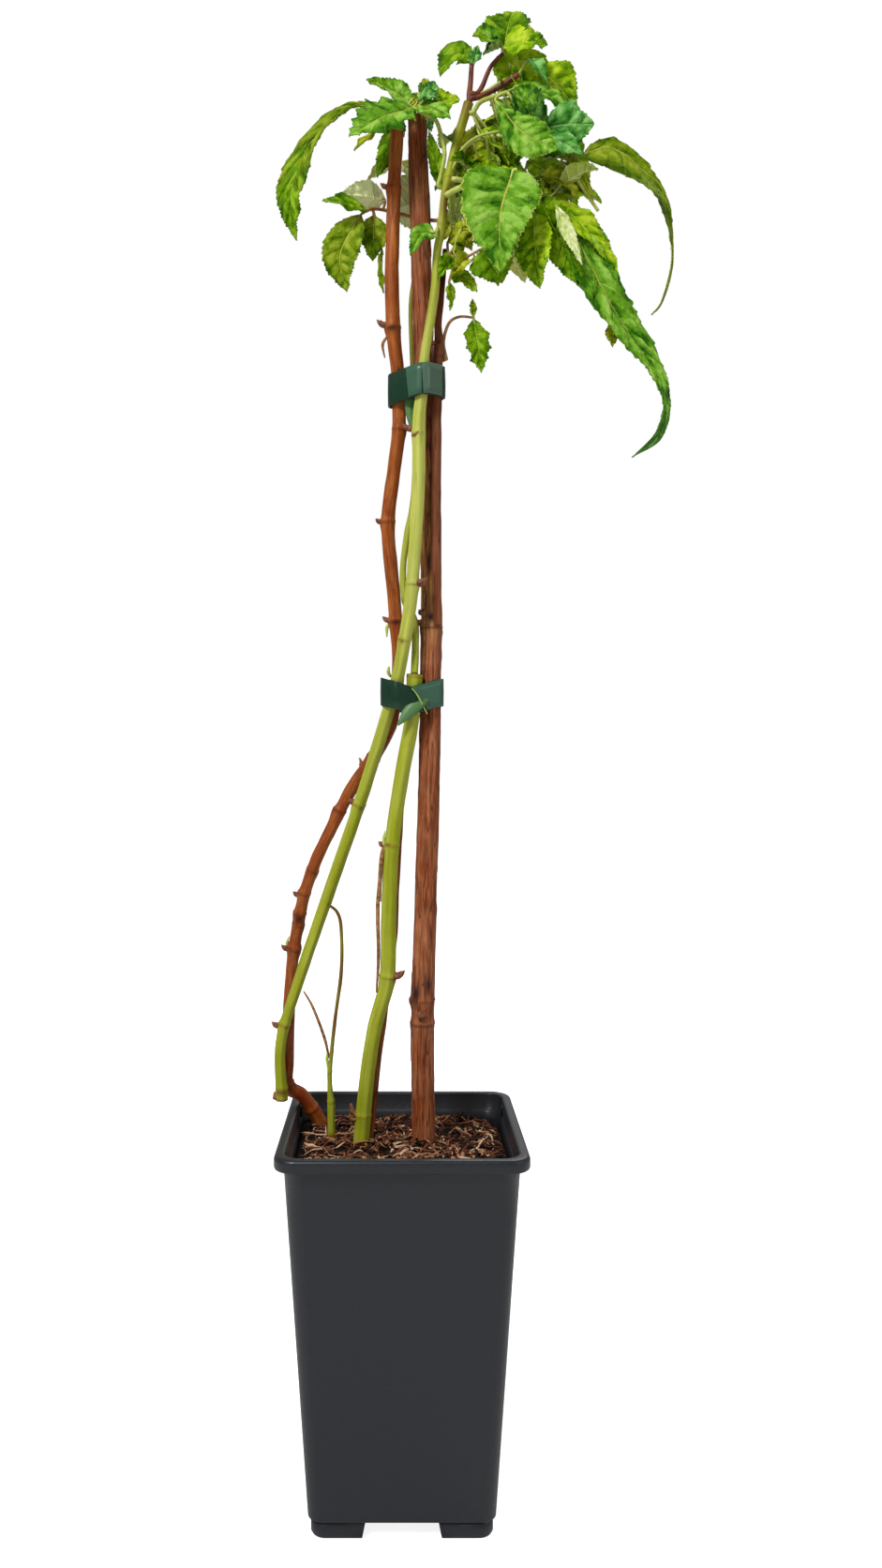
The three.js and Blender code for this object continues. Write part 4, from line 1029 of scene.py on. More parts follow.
CANES = (
    Cane("old_cane", Bark.OLD,
        ((9.5, 8, FOOT, 4.85), (9, 8, 200, 4.9), (11.5, 7, 287, 4.45), (12.7, 6.5, 363, 4.25),
            (11.9, 6.5, 392, 3.85), (10.7, 6.5, 432, 4.05), (8.7, 6.5, 512.5, 4.2), (6.6, 6, 582.3, 4)),
        buds=((198, -95, 2.4, 1.7), (366, 160, 2.5, 1.4), (370, -150, 2, 1.3)),
        rings=((203, 180, 0.8), (193, -90, 0.5), (363, -100, 0.75)),
        tints=((142, 0.05), (170, 0), (355, 0), (368, 0.75), (400, 0.55), (440, 0.1), (582, 0)),
        scars=((198, -95, 1.7, 1.4), (207, -130, 2.2, 5), (211, -65, 1.3, 4), (368, -95, 2.2, 2.6),
            (377, -70, 1.1, 3.5), (392, -100, 0.7, 5)), step=0.7),
    Cane("side_cane", Bark.SIDE,
        ((15.6, 0.9, 364, 1.8), (14.8, 1, 391, 2), (14.8, 1.2, 455, 2.2), (15.4, 1.8, 475, 2.1),
            (15.9, 1.6, 485, 2), (15.5, 1.4, 492, 1.7), (16.4, 0.4, 501, 1.5), (17.4, -0.6, 510, 1.2),
            (18.2, -1, 523, 0.8)), buds=((484, 195, 2, 0.8),), rings=((478, 20, 0.35),),
        tints=((364, 0), (470, 0), (498, 0.9), (523, 1)), scars=((484, -90, 0.8, 1.1), (512, -90, 2, 4))),
    Cane("green_cane", Bark.GREEN,
        ((-52.6, 18, 157.8, 2.5), (-52.8, 16, 184, 2.3), (-44.8, 14, 211.1, 2.4), (-32.8, 12, 246.2, 2.6),
            (-17.9, 7, 289.1, 2.65), (-6, 2, 327.1, 2.65), (-1.2, -1, 344.9, 2.7), (3.2, -4, 370.2, 2.7),
            (5, -5, 389.8, 2.65), (7, -5, 421.3, 2.7), (7.2, -5, 448.8, 2.75), (8.3, -5, 461, 2.4),
            (9.7, -5, 477, 2), (12.8, -5, 496, 1.85), (14.2, -5, 507, 1.8), (14.9, -5, 519.7, 1.7),
            (16.7, -5, 531, 1.65), (17.8, -4.6, 543, 1.6), (19.6, -4.2, 552, 1.75),
            (23.4, -3.4, 567.9, 1.8), (28.2, -3, 583.7, 2)),
        buds=((381, -15, 4, 1.5), (446, 170, 4.5, 1.2), (289, 190, 2.5, 1.2), (191, 180, 3, 1.2)),
        rings=((287, 180, 0.5), (191, 180, 0.5), (380, -20, 0.45), (443, 170, 0.3), (357, 190, 0.3),
            (162, 0, 0.4), (531, 160, 0.4), (551, 0, 0.6), (570, 0, 0.35)),
        tints=((160, 0), (290, 0.1), (345, 0.6), (400, 1), (470, 0.9), (520, 0.3), (584, 0.02)),
        scars=((443, 200, 1.6, 0.7), (191, -60, 1.2, 0.8), (162, -90, 3, 1.6), (287, -60, 1.4, 0.9),
            (357, -110, 1, 1), (540, -30, 3, 8), (590, -90, 9, 16))),
    Cane("brown_cane", Bark.BROWN,
        ((-36, 33, FOOT, 3.4), (-40, 30.5, 150, 3.15), (-44.6, 27.3, 157.7, 3.05), (-49, 25, 160.8, 3.1),
            (-51, 23, 165.5, 2.9), (-50.3, 22, 174, 2.75), (-49.9, 21.5, 193.3, 2.7),
            (-47.8, 20.5, 221, 2.6), (-43.1, 17, 246, 2.6), (-37.8, 15.5, 262, 2.6),
            (-30, 14.5, 278.7, 2.6), (-21.5, 14.3, 295, 2.7), (-13, 13.5, 307.2, 2.75),
            (-6.1, 11.5, 319, 2.75), (-3.7, 10.2, 327, 2.75), (-1.4, 8, 347.6, 2.75), (-3.1, 7, 375, 2.8),
            (-5.8, 5.2, 407, 2.9), (-3.2, 4, 431.4, 2.9), (-1.1, 3, 449, 2.9), (-1.6, 2.5, 471, 2.9),
            (-3.3, 2.5, 487, 3), (-4.2, 2.5, 510.9, 3.05), (-3.2, 2.5, 550.9, 2.9),
            (-1.8, 2.5, 575.6, 2.7)),
        buds=((224, 190, 3, 1.2), (248, 170, 2.5, 1.1), (367, 180, 3, 1.1), (409, 175, 2.5, 1.1),
            (492, 185, 4, 1.2), (551, 180, 3, 1)),
        rings=((224, 180, 0.7), (234, 0, 0.5), (248, 180, 0.7), (258, 10, 0.5), (284, 200, 0.7),
            (307, 30, 0.6), (366, 180, 0.6), (408, 175, 0.6), (447, 0, 0.45), (490, 185, 0.8),
            (550, 180, 0.6), (163, 200, 0.8), (150, -60, 0.5), (239, 180, 0.6), (223, 0, 0.5)),
        scars=((238, -90, 1.6, 2.6), (366, -90, 2.5, 0.9), (490, -100, 2.4, 1.6), (472, -80, 0.8, 1.1)),
        tints=((142, 0.1), (163, 0.75), (190, 0.7), (215, 0.3), (300, 0.1), (700, 0))),
    Cane("middle_cane", Bark.GREEN,
        ((-17.6, 6, FOOT, 3.4), (-15, 5, 170.7, 3.2), (-11.6, 4, 193, 3.1), (-6.4, 3, 213.2, 3.3),
            (-5.6, 2, 239.4, 3.2), (-4.4, 1, 269.4, 3.1), (-0.2, 0.5, 299.2, 3.1), (4.4, 1, 325.1, 3.1),
            (5.4, 1.5, 343.4, 3.2)), buds=((215, -15, 4.5, 1.4), (271, 185, 2.5, 1.2)),
        rings=((214, -20, 0.6), (270, 190, 0.5), (154, 170, 0.5), (341.5, 0, 0.3)),
        tints=((142, 0.15), (260, 0), (343, 0.3)),
        scars=((214, -30, 1.6, 1), (271, -120, 1.6, 0.9), (343.4, -90, 9, 0.7), (154, 190, 1.3, 1.2))),
    Cane("middle_shoot", Bark.GREEN,
        ((5.4, 1.3, 343.4 + GAP, 1.6), (5.8, 3, 355.2, 1.6), (5.4, 6, 366.7, 1.6), (1.4, 5, 375.5, 1.4),
            (0.5, 4.8, 387.5, 1.4), (2.3, 5, 403.6, 1.4), (5, 5.5, 419.6, 1.2), (5.9, 10.6, 449.3, 1.1),
            (4.7, 10.6, 477.7, 1), (3.9, 10.6, 502, 0.9), (5.5, 12, 518, 0.8)), rings=((375, 180, 0.25),),
        tints=((343, 0.3), (518, 0.4))),
    Cane("thin_shoot", Bark.GREEN,
        ((-30.3, 12, FOOT, 1.8), (-30.7, 12, 156.7, 1.6), (-31.1, 11.5, 171.1, 0.9), (-29, 11, 193.5, 0.8),
            (-26.1, 10.5, 216, 0.8), (-26.2, 10.5, 234.2, 0.75), (-27.8, 10.5, 241, 0.7),
            (-31.3, 9.5, 244.5, 0.6)), rings=((158, 0, 0.25), (171, 180, 0.3)),
        tints=((142, 0.25), (172, 0.1), (246, 0)),
        scars=((195, -90, 9, 14), (215, -90, 9, 16), (240, -90, 9, 14), (144, -90, 3, 1.5)), step=0.6),
    Cane("dry_stem", Bark.DRY,
        ((-13.6, 9, FOOT, 1.2), (-9.8, 8, 178, 1.1), (-5.2, 7.5, 210.4, 1.1), (-3, 7, 230.7, 1.1),
            (-1.8, 6.2, 258.9, 1.1), (0.6, 5.6, 295.2, 1.1), (3.4, 5.9, 321.3, 1)), step=0.6),
)
CANE_BY_NAME = {cane.name: cane for cane in CANES}

CANE_FINISHES = [
    BarkFinish("bark_old", "4c200c", "9a4e28", "c8865a", "a87e3e", "2a0f08",
        across=850, stretch=0.07, fibres=0.72, patches=0.6, cracks=0.6, rough=(0.42, 0.7), relief=0.0005),
    BarkFinish("bark_side", "52240e", "7d4426", "9a6444", "64160c", "2a0e08",
        across=900, stretch=0.05, fibres=0.6, patches=0.4, cracks=0.6, relief=0.0002),
    BarkFinish("bark_green", "70780a", "959e14", "b8bc40", "c6ca66", "70501a",
        across=700, stretch=0.03, fibres=0.36, patches=0.4, cracks=0.22, rough=(0.35, 0.55), relief=0.0001),
    BarkFinish("bark_brown", "5a2208", "a04c18", "c67e3e", "8a2c1a", "341405",
        across=600, stretch=0.08, fibres=0.55, patches=0.5, cracks=0.3, rough=(0.32, 0.52), relief=0.0002),
    BarkFinish("bark_dry", "5a2a14", "8a4a28", "ad7a4a", "8a4a28", "35170d",
        across=1200, stretch=0.06, fibres=0.7, patches=0.4, cracks=0.6, relief=0.0003),
    GrainedFinish("bud_brown", "5a2a17", "8f5a38", (0.5, 0.7), 700),
    GrainedFinish("peel_brown", "6d3a1c", "a57a48", (0.6, 0.8), 500),
    GrainedFinish("scrap_lime", "b4c65a", None, (0.5, 0.7), relief=0.00008),
]


# -------- twigs and masses of leaves
STALK = (0.65, 0.45)
TUFT_STALK = (0.5, 0.3)
SPRAY_STALK = (0.7, 0.5)
LEAFLET_STALK = (0.45, 0.3)
SAG = 0.12
TRIES = 8


class Stalk(Enum):
    """Colours of twigs and leaf stalks."""

    GREEN = ("stalk_green", "9aa83a", "b5bf5c")
    LIME = ("stalk_lime", "b3bd4e", "c9cf78")
    RED = ("stalk_red", "4c1c12", "7a3a20")
    BROWN = ("stalk_brown", "8a5a34", "a98450")

    @property
    def finish(self) -> GrainedFinish:
        """Its finish."""
        return GrainedFinish(*self.value, (0.4, 0.6), 350)


@fixed
class Twig:
    """One twig: the points it runs through, its two radii and its colour."""

    path: tuple[Place, ...]
    radius: tuple[float, float]
    stalk: Stalk = Stalk.GREEN


@fixed
class Root:
    """Where a mass's stem starts: a cane's tip, or a height and a compass angle on its side."""

    cane: str
    height: float | None = None
    angle: float = 0.0

    def start(self) -> list[Array]:
        """The stem's first points, a gap away from the cane."""
        cane = CANE_BY_NAME[self.cane]
        if self.height is None:
            middle, along, _ = cane.cross(np.array(cane.stations[-1][2]))
            return [middle + along * GAP, middle + along * 1.5]
        middle, along, size = cane.cross(np.array(self.height))
        out = compass(self.angle)
        out = unit(out - along * (out @ along))
        return [middle + out * (size + GAP), middle + out * (size + GAP + 1.5)]


def slope(azimuth: float, rise: float) -> Array:
    """A direction from its azimuth and its rise."""
    level = math.cos(rise)
    return np.array((level * math.cos(azimuth), level * math.sin(azimuth), math.sin(rise)))


LIMB_CLEARANCE = 1.2


def clear_of_canes(points: Array) -> bool:
    """Whether points keep clear of every cane."""
    for cane in CANES:
        low, high = cane.stations[0][2], cane.stations[-1][2] + LIMB_CLEARANCE
        middle, _, size = cane.cross(points[:, 2])
        apart = np.hypot(*(points - middle)[:, :2].T) > size + LIMB_CLEARANCE
        if not (apart | (points[:, 2] < low) | (points[:, 2] > high)).all():
            return False
    return True


CROWN_AXIS = (24.0, 6.0)


@fixed
class Tuft:
    """Small young leaves that fill out a mass between its larger ones."""

    centre: Place
    half: Place
    count: int
    length: float
    tones: tuple[Tone, ...]
    seed: int

    def leaves(self) -> list[Leaf]:
        """Strews the leaves in the tuft's space, facing outwards and up, clear of the canes."""
        draws = Draws(self.seed)
        made: list[Leaf] = []
        for attempt in range(self.count * TRIES):
            if len(made) == self.count:
                break
            spot = np.array([2 * draws.next() - 1 for _ in range(3)])
            heading, droop = math.tau * draws.next(), -1.1 + 1.5 * draws.next()
            length = self.length * (0.7 + 0.6 * draws.next())
            if np.linalg.norm(spot) > 1:
                continue
            base = self.centre + spot * self.half
            way = slope(heading, droop)
            outward = unit(np.array((base[0] - CROWN_AXIS[0], base[1] - CROWN_AXIS[1] - 14, 0)))
            facing = unit(outward * 0.8 + (0.5 * draws.next() - 0.25, -0.25, 0.45))
            middle = base + way * length * 0.5 + facing * length * 0.1
            tip = base + way * length - UPRIGHT * length * SAG
            tone = self.tones[len(made) % len(self.tones)]
            leaf = Leaf(
                f"tuft_{self.seed}_{attempt}", (tuple(base), tuple(middle), tuple(tip)), tuple(facing),
                length * (0.55 + 0.25 * draws.next()), tone, fold=10 + 25 * draws.next(), veins=5,
                curl=30 * draws.next(),
            )
            if clear_of_canes(leaf.probe(6)):
                made.append(leaf)
        return made


class Foliage:
    """Gathers a mass's twigs and blades and makes its two pieces."""

    def __init__(self, name: str) -> None:
        """Starts an empty mass that stands for the node of that name."""
        self.name = name
        self.wood = Form()
        self.blades = Form()
        self.wood_slots: dict[str, int] = {}
        self.blade_slots: dict[str, int] = {}

    def add_twig(self, line: Line, radius: tuple[float, float], stalk: Stalk, sides: int = 9) -> None:
        """Adds one round twig."""
        slot = self.wood_slots.setdefault(stalk.value[0], len(self.wood_slots))
        tube(self.wood, line, radius, sides, 1.0, slot)

    def finish(self, shop: Workshop) -> None:
        """Makes the twigs' piece and the blades' piece, in place of the node."""
        self.wood.build(f"{self.name}_twigs", self.name, "foliage", self.wood_slots, shop)
        self.blades.build(f"{self.name}_blades", self.name, "foliage", self.blade_slots, shop)


@fixed
class Mass:
    """A mass of leaves with its twigs and leaves set out one by one."""

    name: str
    root: Root
    twigs: tuple[Twig, ...]
    leaves: tuple[Leaf, ...]
    stalk: Stalk = Stalk.GREEN
    tufts: tuple[Tuft, ...] = ()

    def build(self, shop: Workshop) -> None:
        """Grows the twigs, puts each leaf on its stalk and makes the pieces."""
        foliage = Foliage(self.name)
        lines = [Line([*self.root.start(), *self.twigs[0].path])]
        starts = [nearest([lines[0]], np.array(twig.path[0])) for twig in self.twigs[1:]]
        lines += [Line([start, *twig.path]) for start, twig in zip(starts, self.twigs[1:])]
        for line, twig in zip(lines, self.twigs):
            foliage.add_twig(line, twig.radius, twig.stalk)
        young = [leaf for tuft in self.tufts for leaf in tuft.leaves()]
        for k, leaf in enumerate((*self.leaves, *young)):
            base, sunk = leaf.line().at(0), leaf.line().at(0.1)
            root = nearest(lines, base)
            apart = np.linalg.norm(root - base)
            if k < len(self.leaves):
                spots = [root, base, sunk] if apart > 1 else [root, sunk]
                foliage.add_twig(Line(spots), STALK, self.stalk, 7)
                leaf.add_to(foliage.blades, foliage.blade_slots)
            else:
                bow = (root + base) / 2 - UPRIGHT * SAG * apart
                foliage.add_twig(Line([root, bow, base, sunk]), TUFT_STALK, Stalk.LIME, 6)
                leaf.add_to(foliage.blades, foliage.blade_slots, 0.4)
        foliage.finish(shop)


LEAFLET_WIDTH = 0.62
LEAFLET_TONES = (MID, OLIVE, BRIGHT, MID, LIME)


@fixed
class SeededMass:
    """A mass at the back of the crown, set out by the solids' seeded rule inside its space."""

    name: str
    root: Root
    path: tuple[Place, ...]
    radius: tuple[float, float]
    centre: Place
    half: Place
    sprays: int
    petiole: float
    leaflet: float
    seed: int

    def fits(self, leaf: Leaf) -> bool:
        """Whether a leaf keeps to the space and clear of the canes."""
        points = leaf.probe(7)
        inside = (((points - self.centre) / np.array(self.half)) ** 2).sum(-1) < 1
        return bool(inside.all()) and clear_of_canes(points)

    def spray(self, root: Array, tip: Array, azimuth: float, draws: Draws, tone: Tone) -> list[Leaf]:
        """Three leaflets at the end of a stalk: one straight on and one to each side."""
        back = unit(root - tip)
        made = []
        for turn in (0, -1, 1):
            heading = azimuth + turn * 1.1 + (draws.next() - 0.5) * 0.4
            droop = -0.35 - 0.6 * draws.next()
            length = self.leaflet * (1 if turn == 0 else 0.8) * (0.85 + 0.3 * draws.next())
            base = tip + back * (1.2 if turn == 0 else 2.4)
            end = base + slope(heading, droop) * length
            facing = tuple(slope(heading, droop + math.pi / 2))
            label = f"{self.name}_{draws.state % 9973}"
            rib, wide = (tuple(base), tuple(end)), length * LEAFLET_WIDTH
            made.append(
                Leaf(label, rib, facing, wide, tone, arch=0.08, fold=12, ripple=0.5, pucker=0.3, veins=6)
            )
        return made

    def build(self, shop: Workshop) -> None:
        """Grows the sprays from the stem and makes the pieces."""
        foliage = Foliage(self.name)
        draws = Draws(self.seed)
        stem = Line([*self.root.start(), *self.path])
        foliage.add_twig(stem, self.radius, Stalk.GREEN)
        for i in range(self.sprays):
            root = stem.at(blend(0.45, 1, i / (self.sprays - 1)))
            azimuth = i * GOLDEN_ANGLE + (draws.next() - 0.5) * 0.6
            rise = -0.3 + 1.2 * draws.next()
            tip = root + slope(azimuth, rise) * self.petiole * (0.7 + 0.6 * draws.next())
            tone = LEAFLET_TONES[(i + self.seed) % len(LEAFLET_TONES)]
            leaves = [leaf for leaf in self.spray(root, tip, azimuth, draws, tone) if self.fits(leaf)]
            if leaves:
                foliage.add_twig(Line((root, tip)), SPRAY_STALK, Stalk.GREEN)
            for leaf in leaves:
                line = leaf.line()
                foliage.add_twig(Line((tip, line.at(0), line.at(0.12))), LEAFLET_STALK, Stalk.LIME, 6)
                leaf.add_to(foliage.blades, foliage.blade_slots)
        foliage.finish(shop)


MASSES = (
    Mass("top_leaves", Root("green_cane"), (
        Twig(((28.5, -3, 587), (29, -3, 592.5), (29.5, -3, 600)), (1.5, 1), Stalk.RED),
        Twig(((31.5, -3, 587.5), (34, -3, 591), (37.5, -3, 599), (42.5, -4, 604)), (1.3, 0.8), Stalk.RED),
        Twig(((33, -3, 586.5), (40, -4, 589.5), (49, -6, 594)), (1.2, 1.2), Stalk.RED),
        Twig(((34, -3, 588), (43, -4.5, 592.5), (50, 3, 599), (58.5, 9, 605.5)), (0.8, 0.6)),
    ), (
        Leaf("crest", ((43, -3, 606), (47, 4, 626.5)), (-0.1, -0.9, 0.4), 21, MID, arch=0.05, fold=12,
            curl=15, peak=0.5, pucker=0.9),
        Leaf("crest_right", ((43, -4, 606), (61, -7, 606)), (0.2, -0.85, 0.45), 20, LIME, arch=0.1, curl=10,
            pucker=0.9, end=MID),
        Leaf("crest_left", ((42, -5, 606.5), (29.5, -10, 608)), (-0.2, -0.85, 0.5), 17, BRIGHT, arch=0.08,
            fold=5, curl=30, pucker=0.8, end=MID),
        Leaf("crest_under", ((48, 1, 610), (53, 0, 583)), (0.1, -1, 0.1), 25, LIME, arch=0.05, end=MID),
        Leaf("cup_dark", ((42, -6, 606), (34, -9, 601)), (-0.1, -0.9, 0.4), 10, SHADED, arch=0, fold=45,
            curl=60),
        Leaf("crest_low", ((43, 1, 604.5), (61, 4, 589.5)), (0.1, -0.95, 0.2), 24, LIME, arch=0.05,
            end=BRIGHT),
        Leaf("tip_left", ((29, -3, 601), (22.5, -4, 603.5), (16, -8, 592.5)), (-0.3, -0.8, 0.4), 15, MID,
            fold=12),
        Leaf("bud_leaf", ((30, -3, 599), (32, -3, 608)), (-0.1, -1, 0.2), 6, DEEP, fold=25),
        Leaf("teal_scrap", ((52, -8, 599), (59.5, -13, 587)), (0.3, -0.9, 0.3), 8, DEEP, arch=0.1, fold=30),
        Leaf("behind", ((58, 9, 606), (75, 9, 588.5)), (0.2, -0.95, 0.2), 23, LIME, arch=0.06, fold=8,
            pucker=0.9, end=MID),
    ), tufts=(
        Tuft((52, 8, 594), (14, 6, 9), 5, 15, (LIME, MID), 3),
    )),
    Mass("upper_right_leaves", Root("green_cane", 579.5, -30), (
        Twig(((33, -7, 582), (38.5, -11, 582), (43.5, -15, 581.5)), (1, 0.9)),
        Twig(((43, -14, 582), (46.5, -9, 586), (50.5, -5, 589)), (0.8, 0.6)),
    ), (
        Leaf("cupped", ((38.4, -15, 578.5), (48.4, -24, 560.5), (62.2, -27, 551.5)), (-0.35, -0.9, 0.3), 18,
            BRIGHT, fold=8, curl=-20, peak=0.6, pucker=0.6, rim=True),
        # cup_back is painted shade: the SHADED tone darkens the inside of the cup.
        Leaf("cup_back", ((57, -15, 561), (48, -11, 586)), (-0.2, -0.95, 0.25), 23, SHADED, arch=0.04,
            fold=30, curl=50, pucker=0.9, end=BRIGHT),
        Leaf("pale_strip", ((47, -9, 587.5), (70, -10, 578)), (0.1, -0.85, 0.5), 12, BRIGHT, arch=0.05,
            fold=15),
    ), tufts=(
        Tuft((44, 0, 573), (13, 6, 12), 9, 17, (LIME, MID, LIME), 7),
    )),
    Mass("outer_right_leaves", Root("green_cane", 563, 10), (
        Twig(((27, -2, 566), (33.5, -2, 569.5), (44, -6, 568.5), (58, -13, 566.5)), (1.1, 0.9), Stalk.LIME),
        Twig(((57, -12.5, 567), (67.5, -6, 566.5), (78.5, 4, 565.5)), (0.9, 0.7)),
        Twig(((64, -8, 567), (68, -8, 560.5), (73, -8, 549.5), (82, -8, 536)), (1.1, 0.7), Stalk.LIME),
    ), (
        Leaf("puckered", ((57.5, -14, 567), (79, -16, 568)), (0.1, -1, 0.1), 21, DEEP, arch=0.05, fold=8,
            curl=-10, peak=0.5, pucker=1.4),
        Leaf("puckered_low", ((58, -17, 563.5), (73.5, -22, 552)), (0, -1, 0.25), 11, DEEP, pucker=0.9),
        Leaf("arching", ((78.5, 5, 566.5), (90, 4, 568.5), (103.5, 3, 558), (111.5, 2.5, 546.5),
            (114.5, 2, 532), (114.7, 1, 516.5), (110.5, 1, 501.5), (106.3, 1, 496)), (0.1, -0.9, 0.4), 23,
            MOSS, turned=(1, -0.1, 0.15), peak=0.26, taper=3, strip=2.2, uneven=0.55, pucker=0.7),
    ), tufts=(
        Tuft((65, -2, 556), (10, 7, 10), 7, 17, (LIME, OLIVE, MID), 9),
    )),
    Mass("upper_left_leaves", Root("green_cane", 547, 190), (
        Twig(((16.5, -4.6, 553), (18, -5.5, 561), (16.5, -5.5, 569), (14, -5.5, 575.5), (9, -5, 578.5),
            (5, -5, 580.5)), (0.9, 0.9)),
        Twig(((5, -4, 581), (-2.5, -1, 584.5), (-10, 2, 585.5)), (0.9, 0.7)),
        Twig(((5, -4.5, 581), (0.5, 1, 582.5), (0.5, 10, 584)), (0.7, 0.6)),
    ), (
        Leaf("lobed", ((5, -5, 580.5), (-21.5, -20, 561)), (-0.1, -0.95, 0.35), 24, BRIGHT, arch=0.05,
            fold=8, pucker=0.8, lobes=3, veins=6),
        Leaf("folded", ((5, 0, 584.5), (-15, 5, 598.5)), (-0.2, -0.8, 0.6), 12, BRIGHT, arch=0.05, fold=25,
            end=MID),
        Leaf("long_left", ((-10, 2, 585.5), (-24, 1, 583), (-39, -1, 567), (-46.5, -3, 546),
            (-44.5, -3, 526)), (-0.5, -0.65, 0.55), 17, MOSS, turned=(-0.6, -0.75, 0.1), fold=12, peak=0.6,
            strip=3, pucker=0.9, veins=11, end=MID),
        Leaf("inner_low", ((7, -6, 581), (20, -14, 571.5)), (0, -0.95, 0.35), 11, BRIGHT, arch=0.05),
        Leaf("inner_cup", ((10.5, -4, 582), (13.5, -3, 593)), (0, -0.95, 0.3), 10, DEEP, fold=20, curl=60),
        Leaf("inner_lime", ((13, -3, 583), (24.5, -2, 586)), (0.1, -0.9, 0.4), 12, LIME, arch=0.06),
        Leaf("bud_pale", ((9.5, -1, 587.5), (10, 1, 596.5)), (0, -1, 0.2), 6, OLIVE, arch=0.06, fold=20),
        Leaf("under_lobed", ((3, 3, 582.5), (-20, -8, 561.5)), (-0.1, -0.3, 0.95), 13, OLIVE, arch=0.04),
        Leaf("behind_brown", ((0.5, 10, 584), (-10.5, 9, 558.5)), (-0.2, -0.95, 0.2), 11, MID),
    ), tufts=(
        Tuft((8, -2, 584), (9, 5, 8), 10, 9, (DEEP, BRIGHT, LIME, OLIVE), 13),
    )),
    Mass("lower_left_leaves", Root("green_cane", 534, 95), (
        Twig(((15.6, 4, 537.5), (13.4, 10.5, 540.5), (8, 12.6, 542), (-2, 12.4, 544.5), (-9, 9.5, 544.8),
            (-13.5, 5, 543)), (0.9, 0.7), Stalk.BROWN),
    ), (
        Leaf("pale_fold", ((-7, 9, 548.5), (-26, 1, 547.5)), (-0.1, 0.75, 0.65), 14, CREAM, fold=15),
        Leaf("dark_tip", ((-14.5, 2, 541), (-33, -8, 540.5)), (-0.1, -0.85, 0.5), 12, MID, arch=0.04),
        Leaf("hanging", ((-17.5, 0, 538), (-26, -4, 519.5), (-23, -8, 502.5)), (-0.05, -1, 0.1), 17, MOSS,
            fold=12),
        Leaf("hanging_small", ((-12, 7, 541), (-12.5, 8, 522)), (0.1, -1, 0.1), 13, MOSS, end=MID),
        Leaf("narrow", ((-8.5, 10, 527), (-8, 10, 509)), (-1, -0.6, 0), 5, LIME, fold=20),
        Leaf("behind_canes", ((11, 16, 552.5), (-6, 16, 547)), (0, 0.8, 0.5), 22, CREAM, arch=0.02),
    ), Stalk.BROWN),
    Mass("front_leaf", Root("green_cane", 543.5, -60), (
        Twig(((24, -11, 544), (33, -16, 544), (46.5, -24, 545)), (1.3, 1), Stalk.LIME),
    ), (
        Leaf("big_front", ((45, -24, 545), (39, -32, 523), (38.5, -38, 498)), (0, -0.95, 0.3), 34, BRIGHT,
            peak=0.31, uneven=0.1, pucker=1.1, rim=True, veins=8),
    ), Stalk.LIME),
    Mass("right_leaves", Root("green_cane", 551, -20), (
        Twig(((28, -5, 550), (39.5, -7, 548), (51.5, -9, 545), (60.5, -12, 540), (69, -15, 527.5)),
            (1.2, 0.8), Stalk.LIME),
        Twig(((50, -8.5, 545.5), (51.5, -3, 553), (53.5, 2, 561.5)), (0.6, 0.5)),
        Twig(((49.5, -8.7, 545.4), (51.5, -14, 538), (54, -18, 530)), (0.7, 0.6)),
    ), (
        Leaf("hanging_point", ((54, -18, 530), (55.5, -25, 497)), (-0.6, -0.8, 0.1), 18, LIME, fold=12,
            end=MID),
        Leaf("dark_fold", ((57.5, -10, 540), (73.5, -22, 497.5)), (-0.5, -0.75, 0.4), 21, MID, arch=0.04,
            fold=42),
        Leaf("brownish", ((63.5, -13, 538), (89.5, -12, 508.5)), (0.35, -0.75, 0.55), 19, LIME, arch=0.05,
            pucker=0.6, rim=True),
        Leaf("long_right", ((70, -16, 524.5), (82, -20, 498), (92.5, -24, 477.5), (101.5, -27, 462.5),
            (105.5, -29, 449.5), (102, -31, 436), (91.5, -32, 427)), (0.35, -0.9, 0.2), 22, BRIGHT,
            turned=(0.7, -0.6, 0.2), fold=8, peak=0.22, taper=2.6, strip=2.2, pucker=1.3, veins=14,
            end=SHADED),
        Leaf("lime_behind", ((53.5, 2, 562), (73, 0, 548)), (0.1, -0.9, 0.3), 17, LIME, arch=0.05, end=MID),
        Leaf("fold_pale", ((62.5, -23, 531), (72, -28.5, 505)), (-0.3, -0.95, 0.2), 6, CREAM),
        Leaf("strap", ((66.5, -8, 563.5), (74, -8, 552), (80, -8, 540)), (0, -0.95, 0.2), 6, OLIVE, fold=12,
            veins=4),
        Leaf("flap", ((86, -18, 486), (86, -19, 475.5)), (0, -1, 0.1), 6, OLIVE, arch=0, fold=12, veins=4),
        Leaf("pale_small", ((57, -5, 549.5), (68, -7, 543)), (0, 0.5, 0.85), 10, LIME, fold=12),
    ), tufts=(
        Tuft((60, -4, 545), (16, 7, 12), 13, 18, (LIME, OLIVE, LIME), 21),
    )),
    Mass("middle_leaves", Root("green_cane", 552.5, 80), (
        Twig(((21, 2, 554), (23, 3, 558)), (0.9, 0.7)),
        Twig(((22, -5.5, 556), (25, -6.5, 562), (30, -8, 566), (37, -9, 568), (44, -9, 568.7)), (0.8, 0.5)),
    ), (
        Leaf("mid_olive", ((23.5, 2, 559.5), (42, 7, 582.5)), (0, -0.95, 0.3), 15, OLIVE),
        Leaf("mid_lime", ((24.5, 4, 559), (53, 6, 567.5)), (0.1, -0.95, 0.25), 19, LIME, arch=0.04,
            end=MID),
        Leaf("mid_deep", ((22.5, 6, 554), (42.5, 9, 556.5)), (0, -0.9, 0.4), 14, MID),
